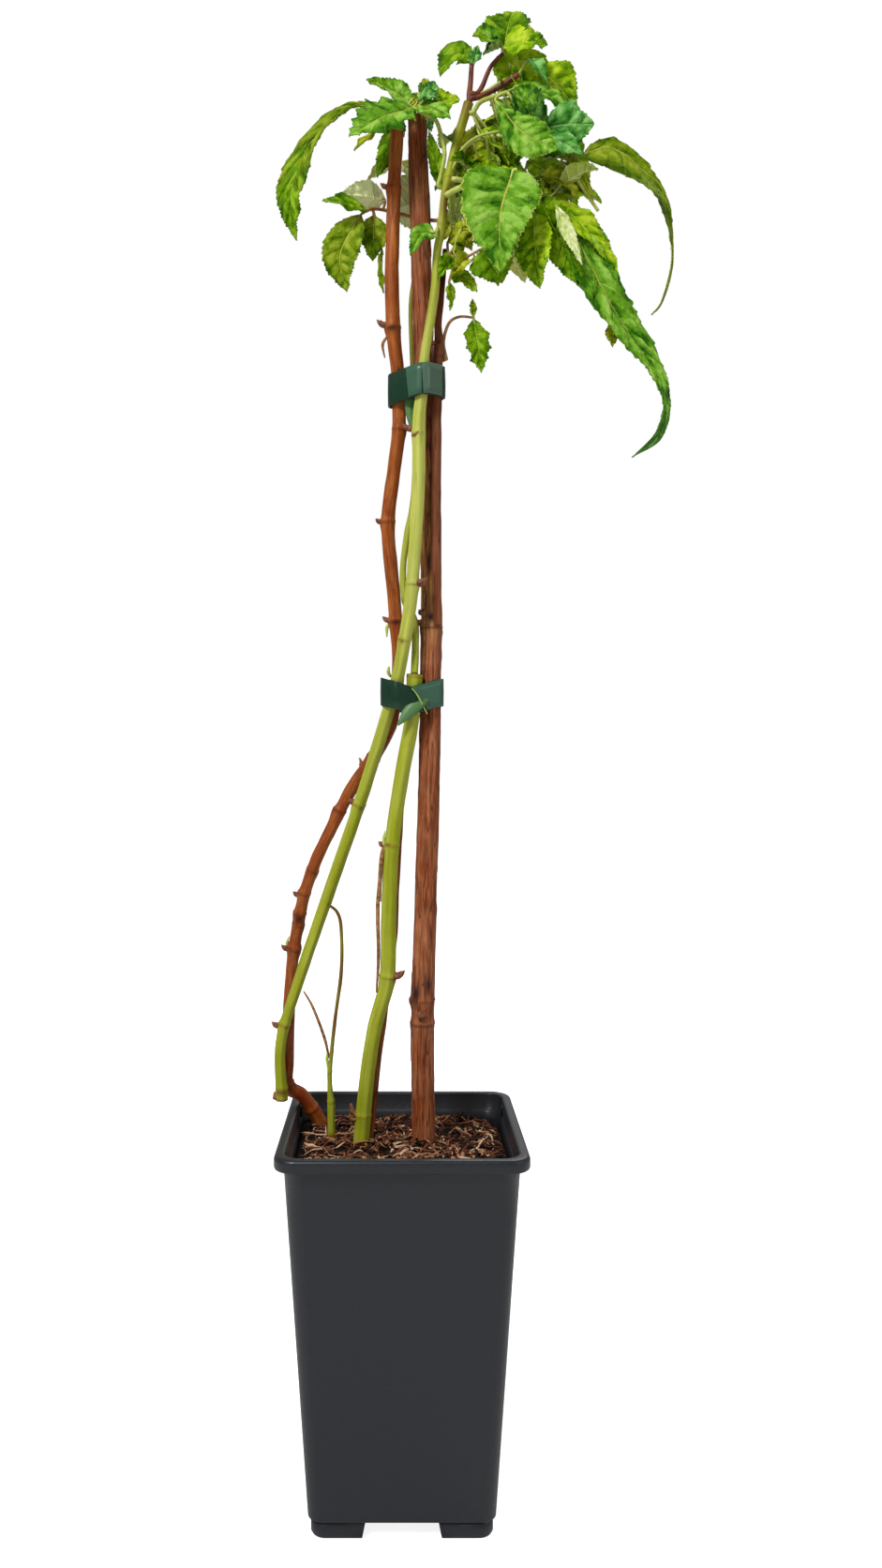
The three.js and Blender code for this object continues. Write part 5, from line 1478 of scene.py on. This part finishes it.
        Leaf("by_cane", ((17, 0.5, 549), (11.5, -1.5, 573)), (-0.1, -1, 0.2), 7, MID, arch=0.02, fold=12),
    ), tufts=(
        Tuft((34, 5, 566), (15, 8, 15), 15, 18, (LIME, MID, LIME), 31),
        Tuft((26, 8, 545), (9, 6, 14), 8, 12, (MID, OLIVE), 37),
    )),
    Mass("stem_leaves", Root("side_cane", 520, -40), (
        Twig(((21.5, -4, 513),), (0.7, 0.6), Stalk.BROWN),
        Twig(((21.5, -4, 513.5), (27, -8, 516.5), (32.5, -10, 519)), (0.6, 0.5), Stalk.BROWN),
    ), (
        Leaf("low_behind", ((34, -10, 519), (41.5, -13, 504)), (0, -1, 0), 20, MID, fold=6),
        Leaf("olive_mid", ((19.5, 0, 526.5), (34.5, -5, 532)), (0.2, -0.85, 0.5), 13, OLIVE, arch=0.04),
        Leaf("small_right", ((21, -4, 512), (31.5, -8, 502.5)), (0.1, -0.9, 0.4), 9, LIME, arch=0.06,
            fold=12),
        Leaf("narrow_right", ((20, -3, 508.5), (20.5, -3, 496.5)), (0.8, -0.7, 0), 5, LIME, arch=0.02,
            fold=12),
    ), Stalk.BROWN, tufts=(
        Tuft((31, -6, 522), (12, 5, 11), 8, 13, (MID, OLIVE), 17),
    )),
    Mass("cane_leaf", Root("green_cane", 528.5, 235), (
        Twig(((14.5, -8.3, 527), (12, -9, 527)), (0.8, 0.6), Stalk.LIME),
    ), (
        Leaf("on_cane", ((14.5, -8, 525.5), (8.5, -10, 525.5), (3.5, -12, 516)), (-0.1, -0.9, 0.45), 10,
            BRIGHT, fold=12),
    ), Stalk.LIME),
    Mass("side_shoot_leaves", Root("side_cane", 478, 25), (
        Twig(((17.8, 3, 485), (20.1, 2, 492.8), (24.5, 1, 495.2), (30.5, 0, 494.5)), (0.9, 0.5),
            Stalk.BROWN),
    ), (
        Leaf("hang", ((30.5, 0, 493.5), (33.5, -4, 470)), (0.1, -1, 0.1), 12.5, MID, lobes=1.2),
        Leaf("upright", ((30.5, 0, 495), (30, 0, 502.5)), (0, -1, 0), 3.5, LIME, arch=0.01, fold=15),
    )),
)

SEEDED_MASSES = (
    SeededMass("back_leaves", Root("green_cane", 541, 85),
        ((19, 4, 541.5), (24, 14, 545), (33, 24, 556), (38, 34, 567), (42, 42, 578)), (1.1, 0.7),
        (38, 36, 573), (31, 24, 27), 13, 13, 23, 11),
    SeededMass("back_left_leaves", Root("brown_cane", 560, 75),
        ((-1.5, 8, 561), (0, 14, 564), (0, 24, 571), (-2, 34, 579)), (1, 0.6), (-2, 33, 577),
        (20, 20, 19), 8, 9, 20, 5),
    SeededMass("back_right_leaves", Root("green_cane", 537.5, 40),
        ((22, 4, 537), (34, 15, 536), (48, 25, 538), (60, 32, 541)), (1.1, 0.7), (58, 33, 533),
        (23, 21, 16), 8, 9, 21, 23),
)


# -------- pot and compost
def square_ring(half: float, corner: float, z: float, steps: int = 10) -> Array:
    """Points round a square with rounded corners, anticlockwise."""
    ring = []
    for quarter in range(4):
        start = quarter * math.pi / 2
        x = (half - corner) * math.copysign(1, math.cos(start + math.pi / 4))
        y = (half - corner) * math.copysign(1, math.sin(start + math.pi / 4))
        for i in range(steps + 1):
            angle = start + i / steps * math.pi / 2
            ring.append((x + corner * math.cos(angle), y + corner * math.sin(angle), z))
    return np.array(ring)


@fixed
class Pot:
    """The square pot: a tapering wall, a turned-down rim, an inside step and four corner feet."""

    height: float = 153.4
    rim_half: float = 50.0
    rim_corner: float = 9.0
    rim_round: float = 1.6
    lip: float = 4.2
    lip_round: float = 0.8
    skirt: float = 5.5
    half_top: float = 46.45
    half_foot: float = 37.4
    wall: float = 1.3
    floor: float = 1.6
    ledge: float = 7.8
    foot_height: float = 7.0
    foot_half: float = 36.3
    foot_slot: float = 28.8

    def body_half(self, z: float) -> float:
        """Half of the wall's outer side at a height."""
        rise = (z - self.foot_height) / (self.height - self.skirt - self.foot_height)
        return blend(self.half_foot, self.half_top, rise)

    def corner(self, z: float) -> float:
        """The radius of the wall's corners at a height."""
        return blend(6, self.rim_corner - 0.5, z / self.height)

    def body_ring(self, z: float, inset: float = 0.0) -> Place:
        """The wall's ring at a height."""
        return self.body_half(z) - inset, self.corner(z) - inset, z

    def profile(self) -> list[Place]:
        """Half side, corner radius and height of each ring, from under the floor to inside it."""
        top, below, foot = self.height, self.height - self.skirt, self.foot_height
        opening, mouth, step = self.rim_half - self.lip, self.rim_corner - 1.8, top - self.ledge
        rings = [(self.body_half(foot) - 0.6, self.corner(0), foot)]
        rings += [self.body_ring(z) for z in (foot + 0.5, foot + 1, *np.linspace(12, below - 0.6, 9))]
        rings += [
            (self.body_half(below) + 0.3, self.corner(below), below - 0.2),
            (self.rim_half - 0.9, self.rim_corner - 0.5, below + 0.05),
            (self.rim_half - 0.25, self.rim_corner, below + 0.35),
            (self.rim_half, self.rim_corner, below + 1),
        ]
        for k in range(7):
            turn = k / 6 * math.pi / 2
            round_in, drop = self.rim_round * (1 - math.cos(turn)), self.rim_round * (1 - math.sin(turn))
            rings.append((self.rim_half - round_in, self.rim_corner - round_in / 2, top - drop))
        for k in range(4):
            turn = k / 3 * math.pi / 2
            round_in, drop = self.lip_round * (1 - math.sin(turn)), self.lip_round * (1 - math.cos(turn))
            rings.append((opening + round_in, mouth, top - drop))
        rings += [
            (opening - 0.05, mouth, step + 0.3),
            (opening - 0.35, mouth, step),
            (self.body_half(step - 1) - self.wall, self.corner(top) - self.wall, step - 0.6),
        ]
        return rings + [self.body_ring(z, self.wall) for z in np.linspace(140, foot + self.floor, 6)]

    def foot(self, form: Form, quarter: int) -> None:
        """Adds one corner foot: an L of wall with a chamfered bottom and slanting ends."""
        section = [(0.0, 7.5), (0.0, 1.2), (0.5, 0.35), (1.4, 0.0), (3.2, 0.0), (3.5, 0.4), (3.5, 7.5)]
        cos, sin = math.cos(quarter * math.pi / 2), math.sin(quarter * math.pi / 2)
        spin = np.array(((cos, -sin, 0), (sin, cos, 0), (0, 0, 1)))
        columns = []
        for inset, z in section:
            half = self.foot_half - inset
            corner = max(self.corner(0) - inset, 2.2)
            reach = self.foot_slot / 2 + 1.4 - 0.2 * z
            arc = np.linspace(-math.pi / 2, 0, 9)
            x = half - corner + corner * np.cos(arc)
            y = -(half - corner) + corner * np.sin(arc)
            path = np.vstack(((reach, -half), np.stack((x, y), -1), (half, -reach)))
            columns.append(np.c_[path, np.full(len(path), z)])
        rings = np.stack(columns, axis=1) @ spin.T
        stack(form, rings[:, ::-1])

    def build(self, shop: Workshop) -> None:
        """Makes the pot in place of its node."""
        form = Form()
        stack(form, np.array([square_ring(*ring) for ring in self.profile()]))
        for quarter in range(4):
            self.foot(form, quarter)
        for side in (-46.2, 46.2):
            for span in ((-37.0, -34.0), (34.0, 37.0)):
                self.add_rib(form, side, *span)
        form.build("pot_moulded", "pot", "pot_plastic", ["pot_plastic"], shop)

    def add_rib(self, form: Form, x: float, near: float, far: float) -> None:
        """Adds a small stacking rib that stands on the inside step."""
        low, high = self.height - self.ledge + 0.1, self.height - 2.4
        inward = -math.copysign(1.1, x)
        rings = []
        for z, depth in ((low, 1.0), (high - 1, 1.0), (high, 0.3)):
            inner = x + inward * depth
            ring = [(x, near, z), (inner, near + 0.3, z), (inner, far - 0.3, z), (x, far, z)]
            rings.append(ring if inward < 0 else ring[::-1])
        stack(form, np.array(rings)[:, ::-1])


@fixed
class Compost:
    """Damp compost: a lumpy bed with curled fibres, chips and pale grains on it."""

    top: float = 142.4
    half: float = 44.3
    corner: float = 7.0
    fibres: int = 1500
    chips: int = 560
    shares: tuple[float, ...] = (0.4, 0.26, 0.23, 0.11)
    grains: int = 26
    seed: int = 41

    def level(self, x: Array, y: Array) -> Array:
        """How high the bed is at a place."""
        spots = np.stack((x, y, 0 * x), -1)
        lumps = 1.3 * value_noise(spots / 9, 1) + 1.1 * value_noise(spots / 3.4, 2)
        mound = 1.8 * np.exp(-(((x + 18) / 30) ** 2) - (((y - 22) / 24) ** 2))
        return self.top + lumps + 0.35 * value_noise(spots / 1.2, 3) + mound - 0.6

    def inside(self, x: float, y: float, margin: float) -> bool:
        """Whether a place is on the bed, a margin in from the wall."""
        limit = self.half - margin
        over = max(abs(x) - limit + self.corner, 0), max(abs(y) - limit + self.corner, 0)
        return abs(x) < limit and abs(y) < limit and math.hypot(*over) < self.corner

    def bed(self) -> Form:
        """The bed as a closed body down to the pot's floor."""
        rings = [square_ring(36.2, 4.4, 9.0, 12)]
        rim = square_ring(1, self.corner / self.half, 0, 12)
        sizes = np.r_[1.0, 0.985, np.linspace(0.96, 0.02, 46)]
        for size, drop in zip(sizes, (1.2, 0.4, *np.zeros(46))):
            ring = rim * (self.half * size, self.half * size, 0)
            rings.append(np.c_[ring[:, :2], self.level(ring[:, 0], ring[:, 1]) - drop])
        form = Form()
        stack(form, np.array(rings))
        return form

    def litter(self) -> Form:
        """Curled fibres and flat chips strewn over the bed."""
        rng = np.random.default_rng(self.seed)
        form = Form()
        for k in range(self.fibres + self.chips):
            chip = k >= self.fibres
            x, y = rng.uniform(-self.half, self.half, 2)
            length = rng.uniform(3, 7) if chip else rng.uniform(4, 13)
            if not self.inside(x, y, 1.0 + length * 0.42):
                continue
            heading = rng.uniform(0, math.tau)
            bend = rng.uniform(-2.6, 2.6) * (0.4 if chip else 1)
            t = np.linspace(-0.5, 0.5, 4 if chip else 8)
            turned = heading + bend * t
            step = length / (len(t) - 1)
            run = np.c_[np.cumsum(np.cos(turned)), np.cumsum(np.sin(turned))] * step
            run = run - run.mean(0) + (x, y)
            ground = self.level(run[:, 0], run[:, 1])
            rise = rng.uniform(0, 1.9) + rng.uniform(-1.6, 4.4) * (0.25 - t**2) * (0.5 if chip else 1)
            tilt = rng.uniform(-0.9, 0.9) * t
            z = np.maximum(ground + rise + tilt * (0.8 if chip else 1.6), ground - 0.3) + 0.15
            spots = np.c_[run, z]
            wide = rng.uniform(1.0, 2.3) if chip else rng.uniform(0.45, 1.3)
            thick, roll = rng.uniform(0.1, 0.3), rng.uniform(-1, 1, 2)
            rings = self.strip(spots, wide, thick, roll)
            stack(form, rings, int(rng.choice(4, p=self.shares)))
        return form

    def strip(self, spots: Array, wide: float, thick: float, roll: Array) -> Array:
        """The rings of one tapering strip, rolled about its length."""
        ways = unit(np.gradient(spots, axis=0))
        side = unit(np.cross(ways, UPRIGHT))
        up = np.cross(side, ways)
        angle = blend(roll[0], roll[1], np.linspace(0, 1, len(spots)))[:, None]
        across = side * np.cos(angle) + up * np.sin(angle)
        over = up * np.cos(angle) - side * np.sin(angle)
        taper = (np.sin(np.linspace(0.12, 0.9, len(spots)) * math.pi) ** 0.5)[:, None]
        edge = across * wide / 2 * taper
        return np.stack((spots + edge, spots + over * thick, spots - edge, spots - over * thick * 0.6), 1)

    def pale_grains(self) -> Form:
        """Small pale angular grains."""
        rng = np.random.default_rng(self.seed + 1)
        form = Form()
        for _ in range(self.grains):
            x, y = rng.uniform(-self.half, self.half, 2)
            if not self.inside(x, y, 2):
                continue
            size = rng.uniform(0.3, 0.75)
            centre = np.array((x, y, float(self.level(np.array(x), np.array(y))) + rng.uniform(0.2, 1.3)))
            turn = turns(8)
            round_way = np.c_[np.cos(turn), np.sin(turn)]
            rings = []
            for level in np.linspace(-0.9, 0.9, 5):
                wide = math.sqrt(1 - level**2) * size * rng.uniform(0.8, 1.2, 8)
                rings.append(centre + np.c_[round_way * wide[:, None], np.full(8, level * size)])
            stack(form, np.array(rings))
        return form

    def build(self, shop: Workshop) -> None:
        """Makes the bed, its litter and its grains in place of the compost's node."""
        litter = ("compost_brown", "compost_dark", "compost_tan", "compost_pale")
        self.bed().build("compost_bed", "compost", "compost", ["compost_dark"], shop)
        self.litter().build("compost_litter", "compost", "compost", litter, shop)
        grains = self.pale_grains()
        grains.build("compost_grains", "compost", "compost", ["compost_grain"], shop, smooth=False)


# -------- ties
@fixed
class Tie:
    """A flat band of plastic tape round the canes that pass its height, with a loose tail."""

    name: str
    middle: float
    height: float
    fold: float
    fold_at: float
    lean: float
    window: tuple[float, float]
    skin: float = 0.55
    clearance: float = 0.55
    sides: int = 144

    def circles(self) -> tuple[Array, Array]:
        """Middles and radii of the canes within the band."""
        middles, sizes = [], []
        for cane in CANES:
            for z in np.linspace(*self.window, 9):
                if cane.stations[0][2] <= z <= cane.stations[-1][2]:
                    middle, _, size = cane.cross(np.array(z))
                    middles.append(middle[:2])
                    sizes.append(float(size))
        return np.array(middles), np.array(sizes)

    def line_round(self, clearance: float) -> Array:
        """The line of a taut band, evenly stepped, from +X anticlockwise."""
        middles, sizes = self.circles()
        turn = turns(720)
        out = np.stack((np.cos(turn), np.sin(turn)), -1)
        best = np.argmax(out @ middles.T + sizes[None, :], axis=1)
        spots = middles[best] + out * (sizes[best] + clearance)[:, None]
        closed = np.vstack((spots, spots[:1]))
        runs = running(closed)
        even = np.linspace(0, runs[-1], self.sides, endpoint=False)
        return np.stack([np.interp(even, runs, closed[:, k]) for k in (0, 1)], -1)

    def dip(self, x: Array) -> Array:
        """How far the band rises away from its crease, or leans."""
        return self.fold * np.abs(x - self.fold_at) + self.lean * (x - self.fold_at)

    def band(self, form: Form) -> None:
        """Adds the closed band."""
        rings = []
        half = self.height / 2
        inner, outer = self.line_round(self.clearance), self.line_round(self.clearance + self.skin)
        for k in range(self.sides):
            rise = float(self.dip(outer[k, :1])[0])
            wave = 0.35 * math.sin(k * 0.35)
            low, high = self.middle + rise - half + wave * 0.4, self.middle + rise + half + wave * 0.3
            middle = self.middle + rise
            outside = ((low, 0.0), (low + 0.2, 0.4), (middle, 0.75), (high - 0.2, 0.4), (high, 0.0))
            swollen = outer[k] + unit(outer[k] - inner[k]) * 0.25
            spine = [(*blend(outer[k], swollen, share), z) for z, share in outside]
            rings.append(spine + [(*inner[k], z) for z in (high, middle, low)])
        stack(form, np.array([*rings, rings[0]])[:, ::-1], 0, ends=False)

    def front(self, places: Array, lift: float) -> Array:
        """Points on the front of the band at the given x, a lift off its face."""
        line = self.line_round(self.clearance + self.skin + lift)
        line = line[line[:, 1] < line[:, 1].mean()]
        line = line[np.argsort(line[:, 0])]
        depth = np.interp(places, line[:, 0], line[:, 1])
        return np.stack((places, depth, self.middle + self.dip(places)), -1)

    def tail(self, form: Form, path: Array, up: Place, wide: tuple[float, ...]) -> None:
        """Adds a flat tail of tape.

        Args:
            form: Takes the tail.
            path: The points that it runs through.
            up: The way of its width.
            wide: Its widths, evenly spread along it.
        """
        line, way = Line(path), Line([up] * len(path))
        t = np.linspace(0, 1, 25)
        spots, up = line.at(t), unit(way.at(t))
        normal = unit(np.cross(line.way(t), up)) * 0.12
        half = up * np.interp(t, np.linspace(0, 1, len(wide)), wide)[:, None] / 2
        one, other = spots + half, spots - half
        over, under = spots + normal * 1.5, spots - normal * 0.6
        rings = (one + normal, over, other + normal, other - normal, under, one - normal)
        stack(form, np.stack(rings, 1), 2)

    def patch(self, form: Form, start: float, end: float, slant: float, slot: int) -> None:
        """Adds a lap of tape on the front of the band, its left edge leaning by the slant."""
        high = self.height - 0.3
        rings = []
        for t in np.linspace(0, 1, 25):
            rise = np.linspace(-high / 2, high / 2, 6)
            x = start + slant * rise + (end - start - slant * rise) * t
            face = self.front(x, 0.75) + rise[:, None] * (0, 0, 1)
            rings.append(np.concatenate((face, face[::-1] + (0, 0.2, 0))))
        stack(form, np.array(rings), slot)

    def lower_laps(self, form: Form) -> None:
        """Adds the lower tie's lap, its pale folded edge and its pointed tail."""
        self.patch(form, 7.4, 17.4, -0.62, 1)
        edge = self.front(np.array((4.2, 5.6, 7.2, 8.8, 10.8)), 0.85)
        edge[:, 2] = (336.9, 335.6, 333.2, 330.2, 326.4)
        tube(form, Line(edge), (0.16, 0.34, 0.26), 8, 0.8, 3)
        tail = self.front(np.array((9.6, 6.0, 2.2, -1.6)), 0.25)
        tail[:, 1] -= (0, 0.1, 0.4, 0.6)
        tail[:, 2] = (333.9, 330.3, 326.2, 321.6)
        self.tail(form, tail, (-0.83, 0, 0.56), (5.4, 6.0, 5.0, 0.9))

    def upper_laps(self, form: Form) -> None:
        """Adds the upper tie's two laps, two tears with a painted highlight on each, and its tail."""
        self.patch(form, 2.2, 8.4, -0.1, 1)
        self.patch(form, 8.7, 17.2, -0.05, 4)
        # Two pale tubes on the tape's rips: their pale colour paints a highlight.
        for x, low, high in ((8.0, 468.0, 469.4), (7.6, 463.4, 465.6)):
            glinting_tear = self.front(np.array((x, x + 0.2)), 0.4) * (1, 1, 0) + ((0, 0, low), (0, 0, high))
            tube(form, Line(glinting_tear), (0.15, 0.3, 0.12), 7, 0.4, 5)
        tail = np.array(((3.2, -1.6, 460), (3.6, -1.8, 453), (4.4, -2.2, 447)))
        self.tail(form, tail, (1, 0, 0), (4.4, 3.8, 2.0))

    def build(self, shop: Workshop) -> None:
        """Makes the tie in place of its node."""
        form = Form()
        self.band(form)
        laps = self.lower_laps if self.name == "tie_lower" else self.upper_laps
        laps(form)
        names = ("tie_dark", "tie_mid", "tie_tail", "tie_edge", "tie_pale", "tie_tear_highlight")
        form.build(f"{self.name}_tape", self.name, "tie_tape", names, shop)


TIES = (
    Tie("tie_lower", 332, 11.8, 0.3, 4.5, 0, (330, 344)),
    Tie("tie_upper", 465.4, 13.2, 0, 4, 0.14, (459, 473)),
)

POT_FINISHES = [
    GrainedFinish("pot_plastic", "1b1d22", "1f2127", (0.32, 0.44), 900, 0.00006, 0.4),
    GrainedFinish("compost_dark", "120904", "24130a", (0.8, 0.95), 600, 0.0004, 0.2),
    GrainedFinish("compost_brown", "482314", "763f20", (0.6, 0.85), 800, 0.0003, 0.25),
    GrainedFinish("compost_tan", "8a5434", "b8845a", (0.6, 0.85), 800, 0.0003, 0.25),
    GrainedFinish("compost_pale", "c49a76", "e2c29e", (0.6, 0.85), 800, 0.0003, 0.25),
    GrainedFinish("compost_grain", "cdb496", "e6d6c0", (0.7, 0.9), 900, 0.0003, 0.2),
    GrainedFinish("tie_dark", "0a301c", None, (0.25, 0.38), 500, 0.00005, 0.3, 0.2),
    GrainedFinish("tie_mid", "355a45", None, (0.3, 0.45), 500, 0.00005, 0.3, 0.1),
    GrainedFinish("tie_pale", "4c6654", None, (0.3, 0.45), 500, 0.00005, 0.3, 0.1),
    GrainedFinish("tie_tail", "527a48", None, (0.4, 0.55), 500, 0.00005, 0.3),
    GrainedFinish("tie_edge", "a4b456", None, (0.4, 0.55), 500, 0.00005, 0.3),
    # The tears' pale colour is a painted highlight.
    GrainedFinish("tie_tear_highlight", "c4d4cc", None, (0.3, 0.45), 500, 0.00005, 0.4),
]


# -------- small dried and torn bits on the canes
@fixed
class Wisp:
    """A dried stalk, peel of bark or scrap of leaf that hangs on a cane.

    Its path gives a compass angle, a distance off the bark and a rise above its height.
    """

    height: float
    path: tuple[Place, ...]
    radius: tuple[float, ...]
    slot: int

    def add_to(self, form: Form, cane: Cane) -> None:
        """Adds it to its cane's form."""
        spots = []
        for degrees, away, rise in self.path:
            middle, _, size = cane.cross(np.array(self.height + rise))
            spots.append(middle + compass(degrees) * (size + away))
        tube(form, Line(spots), self.radius, 6, 0.8, self.slot)


CUT_RIM = (tuple((degrees, -0.1, 0) for degrees in range(-200, 21, 20)), (0.3, 0.35, 0.3), 2)
WISPS = {
    "thin_shoot": (
        Wisp(178, ((180, 0, 0), (180, 3, 9), (180, 9.5, 22), (180, 14.5, 29)), (0.5, 0.7, 0.6, 0.35), 2),
        Wisp(172, ((180, -0.3, 0), (180, 0.9, 6), (180, 0.6, 9.5)), (0.5, 0.7, 0.2), 3),
    ),
    "middle_cane": (
        Wisp(271, ((205, 0.2, 0), (205, 1, -5), (205, 1.3, -15), (205, 0.9, -24)), (0.9, 1, 0.9, 0.5), 2),
        Wisp(
            262, ((200, 1.2, 0), (200, 1.8, -17), (200, 1.1, -38), (200, 0.3, -54)), (0.5, 0.9, 0.8, 0.4), 2
        ),
        Wisp(270, ((205, 0.2, 0), (205, 1, 4), (205, 0.6, 7)), (0.7, 0.6, 0.2), 3),
        Wisp(155, ((210, 0.1, 0), (205, 2, 2.5), (205, 3, 5.5)), (1.1, 1, 0.5), 2),
        Wisp(153.4, ((215, 0.1, 0), (205, 2.2, 0.4), (205, 3, 2.6)), (0.9, 0.8, 0.4), 2),
        Wisp(331, ((-40, -0.2, 0), (-45, 0.4, -2.5), (-50, 1, -5)), (1, 0.9, 0.2), 3),
    ),
    "brown_cane": (
        Wisp(306.5, ((180, 0.2, -2), (180, 1.5, 0), (180, 3.2, 1.5)), (0.8, 0.7, 0.3), 2),
        Wisp(226.6, ((185, 0, -3), (185, 0.9, 0), (185, 0.4, 3)), (0.4, 0.7, 0.2), 3),
        Wisp(364, ((180, 0, 2), (180, 1.3, 0), (180, 1.7, -4)), (0.5, 0.8, 0.3), 3),
        Wisp(344.8, ((185, 0.2, -2), (185, 1.5, 0), (185, 1.3, 2.5)), (0.5, 0.9, 0.4), 3),
        Wisp(487, ((190, 0.1, 0), (190, 2.2, -3.5), (190, 2, -9)), (0.5, 0.7, 0.3), 2),
        Wisp(575.3, *CUT_RIM),
    ),
    "green_cane": (
        Wisp(443.5, ((190, 0.1, 0), (230, 0.6, -0.8), (265, 0.4, 0.6)), (0.4, 0.5, 0.3), 2),
        Wisp(158.4, *CUT_RIM),
        Wisp(159, ((200, -0.4, 0), (190, 0.5, -0.5), (170, 0.6, 2.5)), (1, 1.2, 0.5), 2),
    ),
    "old_cane": (
        Wisp(379, ((230, 0.1, 0), (232, 0.4, -9), (228, 0.2, -34)), (0.4, 0.45, 0.2), 2),
        Wisp(582, *CUT_RIM),
    ),
}


def dress_canes(shop: Workshop) -> None:
    """Makes each cane with its relief, buds and wisps in place of its node."""
    for cane in CANES:
        form = Form()
        cane.build(form)
        for wisp in WISPS.get(cane.name, ()):
            wisp.add_to(form, cane)
        finish, slot = cane.bark.value
        finishes = (finish, "bud_brown", "peel_brown", "scrap_lime")
        form.build(f"{cane.name}_bark", cane.name, slot, finishes, shop)


# -------- studio
@fixed
class Studio:
    """A pale floor, soft lights and a level camera."""

    eye: Place = (-1.8, -504.0, 304.0)
    lens: float = 27.3
    shift: tuple[float, float] = (0.0278, -0.0108)

    def floor(self) -> None:
        """Lays a wide pale floor that looks white to the camera."""
        mesh = bpy.data.meshes.new("floor")
        mesh.from_pydata([(-60, -60, 0), (60, -60, 0), (60, 60, 0), (-60, 60, 0)], [], [(0, 1, 2, 3)])
        floor = bpy.data.objects.new("floor", mesh)
        bpy.context.scene.collection.objects.link(floor)
        made, tree, shader = start_material("floor_pale")
        put(shader, {"Base Color": (0.8, 0.8, 0.8, 1), "Roughness": 0.9, "Specular IOR Level": 0.1})
        put(shader, {"Emission Color": (1, 1, 1, 1), "Emission Strength": self.seen(tree, 0.0, 0.85)})
        mesh.materials.append(made)

    def seen(self, tree: Tree, others: float, camera: float) -> Socket:
        """One value for the camera and another for every other ray."""
        path = tree.nodes.new("ShaderNodeLightPath")
        return remap(path.outputs["Is Camera Ray"], 0, 1, others, camera)

    def light(self, name: str, place: Place, size: float, power: float) -> None:
        """Hangs one soft square light that looks at the plant."""
        lamp = bpy.data.lights.new(name, "AREA")
        lamp.shape = "SQUARE"
        lamp.size = size
        lamp.energy = power
        held = bpy.data.objects.new(name, lamp)
        held.location = place
        aim = np.array((0.0, 0.0, 0.35)) - np.array(place)
        pitch = math.atan2(math.hypot(aim[0], aim[1]), -aim[2])
        held.rotation_euler = (pitch, 0, math.atan2(-aim[0], aim[1]))
        bpy.context.scene.collection.objects.link(held)

    def build(self, axis: Array) -> None:
        """Sets the floor, the lights, the surroundings and the camera."""
        scene = bpy.context.scene
        self.floor()
        self.light("key", (-0.75, -1.1, 1.6), 0.45, 27)
        self.light("side", (1.4, -0.6, 0.9), 0.7, 4)
        self.light("back", (0.4, 1.3, 1.4), 0.9, 8)
        world = bpy.data.worlds.new("studio")
        scene.world = world
        world.use_nodes = True
        sky = world.node_tree.nodes["Background"]
        put(sky, {"Color": (1, 1, 1, 1), "Strength": self.seen(world.node_tree, 0.32, 1.0)})
        scene.view_settings.view_transform = "Standard"
        camera = bpy.data.cameras.new("camera")
        camera.sensor_width = 36
        camera.lens = self.lens
        camera.shift_x, camera.shift_y = self.shift
        camera.clip_start = 0.01
        held = bpy.data.objects.new("camera", camera)
        held.location = np.array(self.eye) / 1000 + axis
        held.rotation_euler = (math.pi / 2, 0, 0)
        scene.collection.objects.link(held)
        scene.camera = held


def main() -> None:
    """Dresses the frame piece by piece and reports each."""
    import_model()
    low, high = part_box("pot")
    axis = np.array(((low.x + high.x) / 2, (low.y + high.y) / 2, 0.0))
    stalks = [stalk.finish for stalk in Stalk]
    shop = Workshop(axis, [*POT_FINISHES, *CANE_FINISHES, *leaf_finishes(), *stalks])
    Studio().build(axis)
    Pot().build(shop)
    Compost().build(shop)
    dress_canes(shop)
    for growth in (*TIES, *MASSES, *SEEDED_MASSES):
        growth.build(shop)
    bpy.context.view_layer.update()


if __name__ == "__main__":
    main()
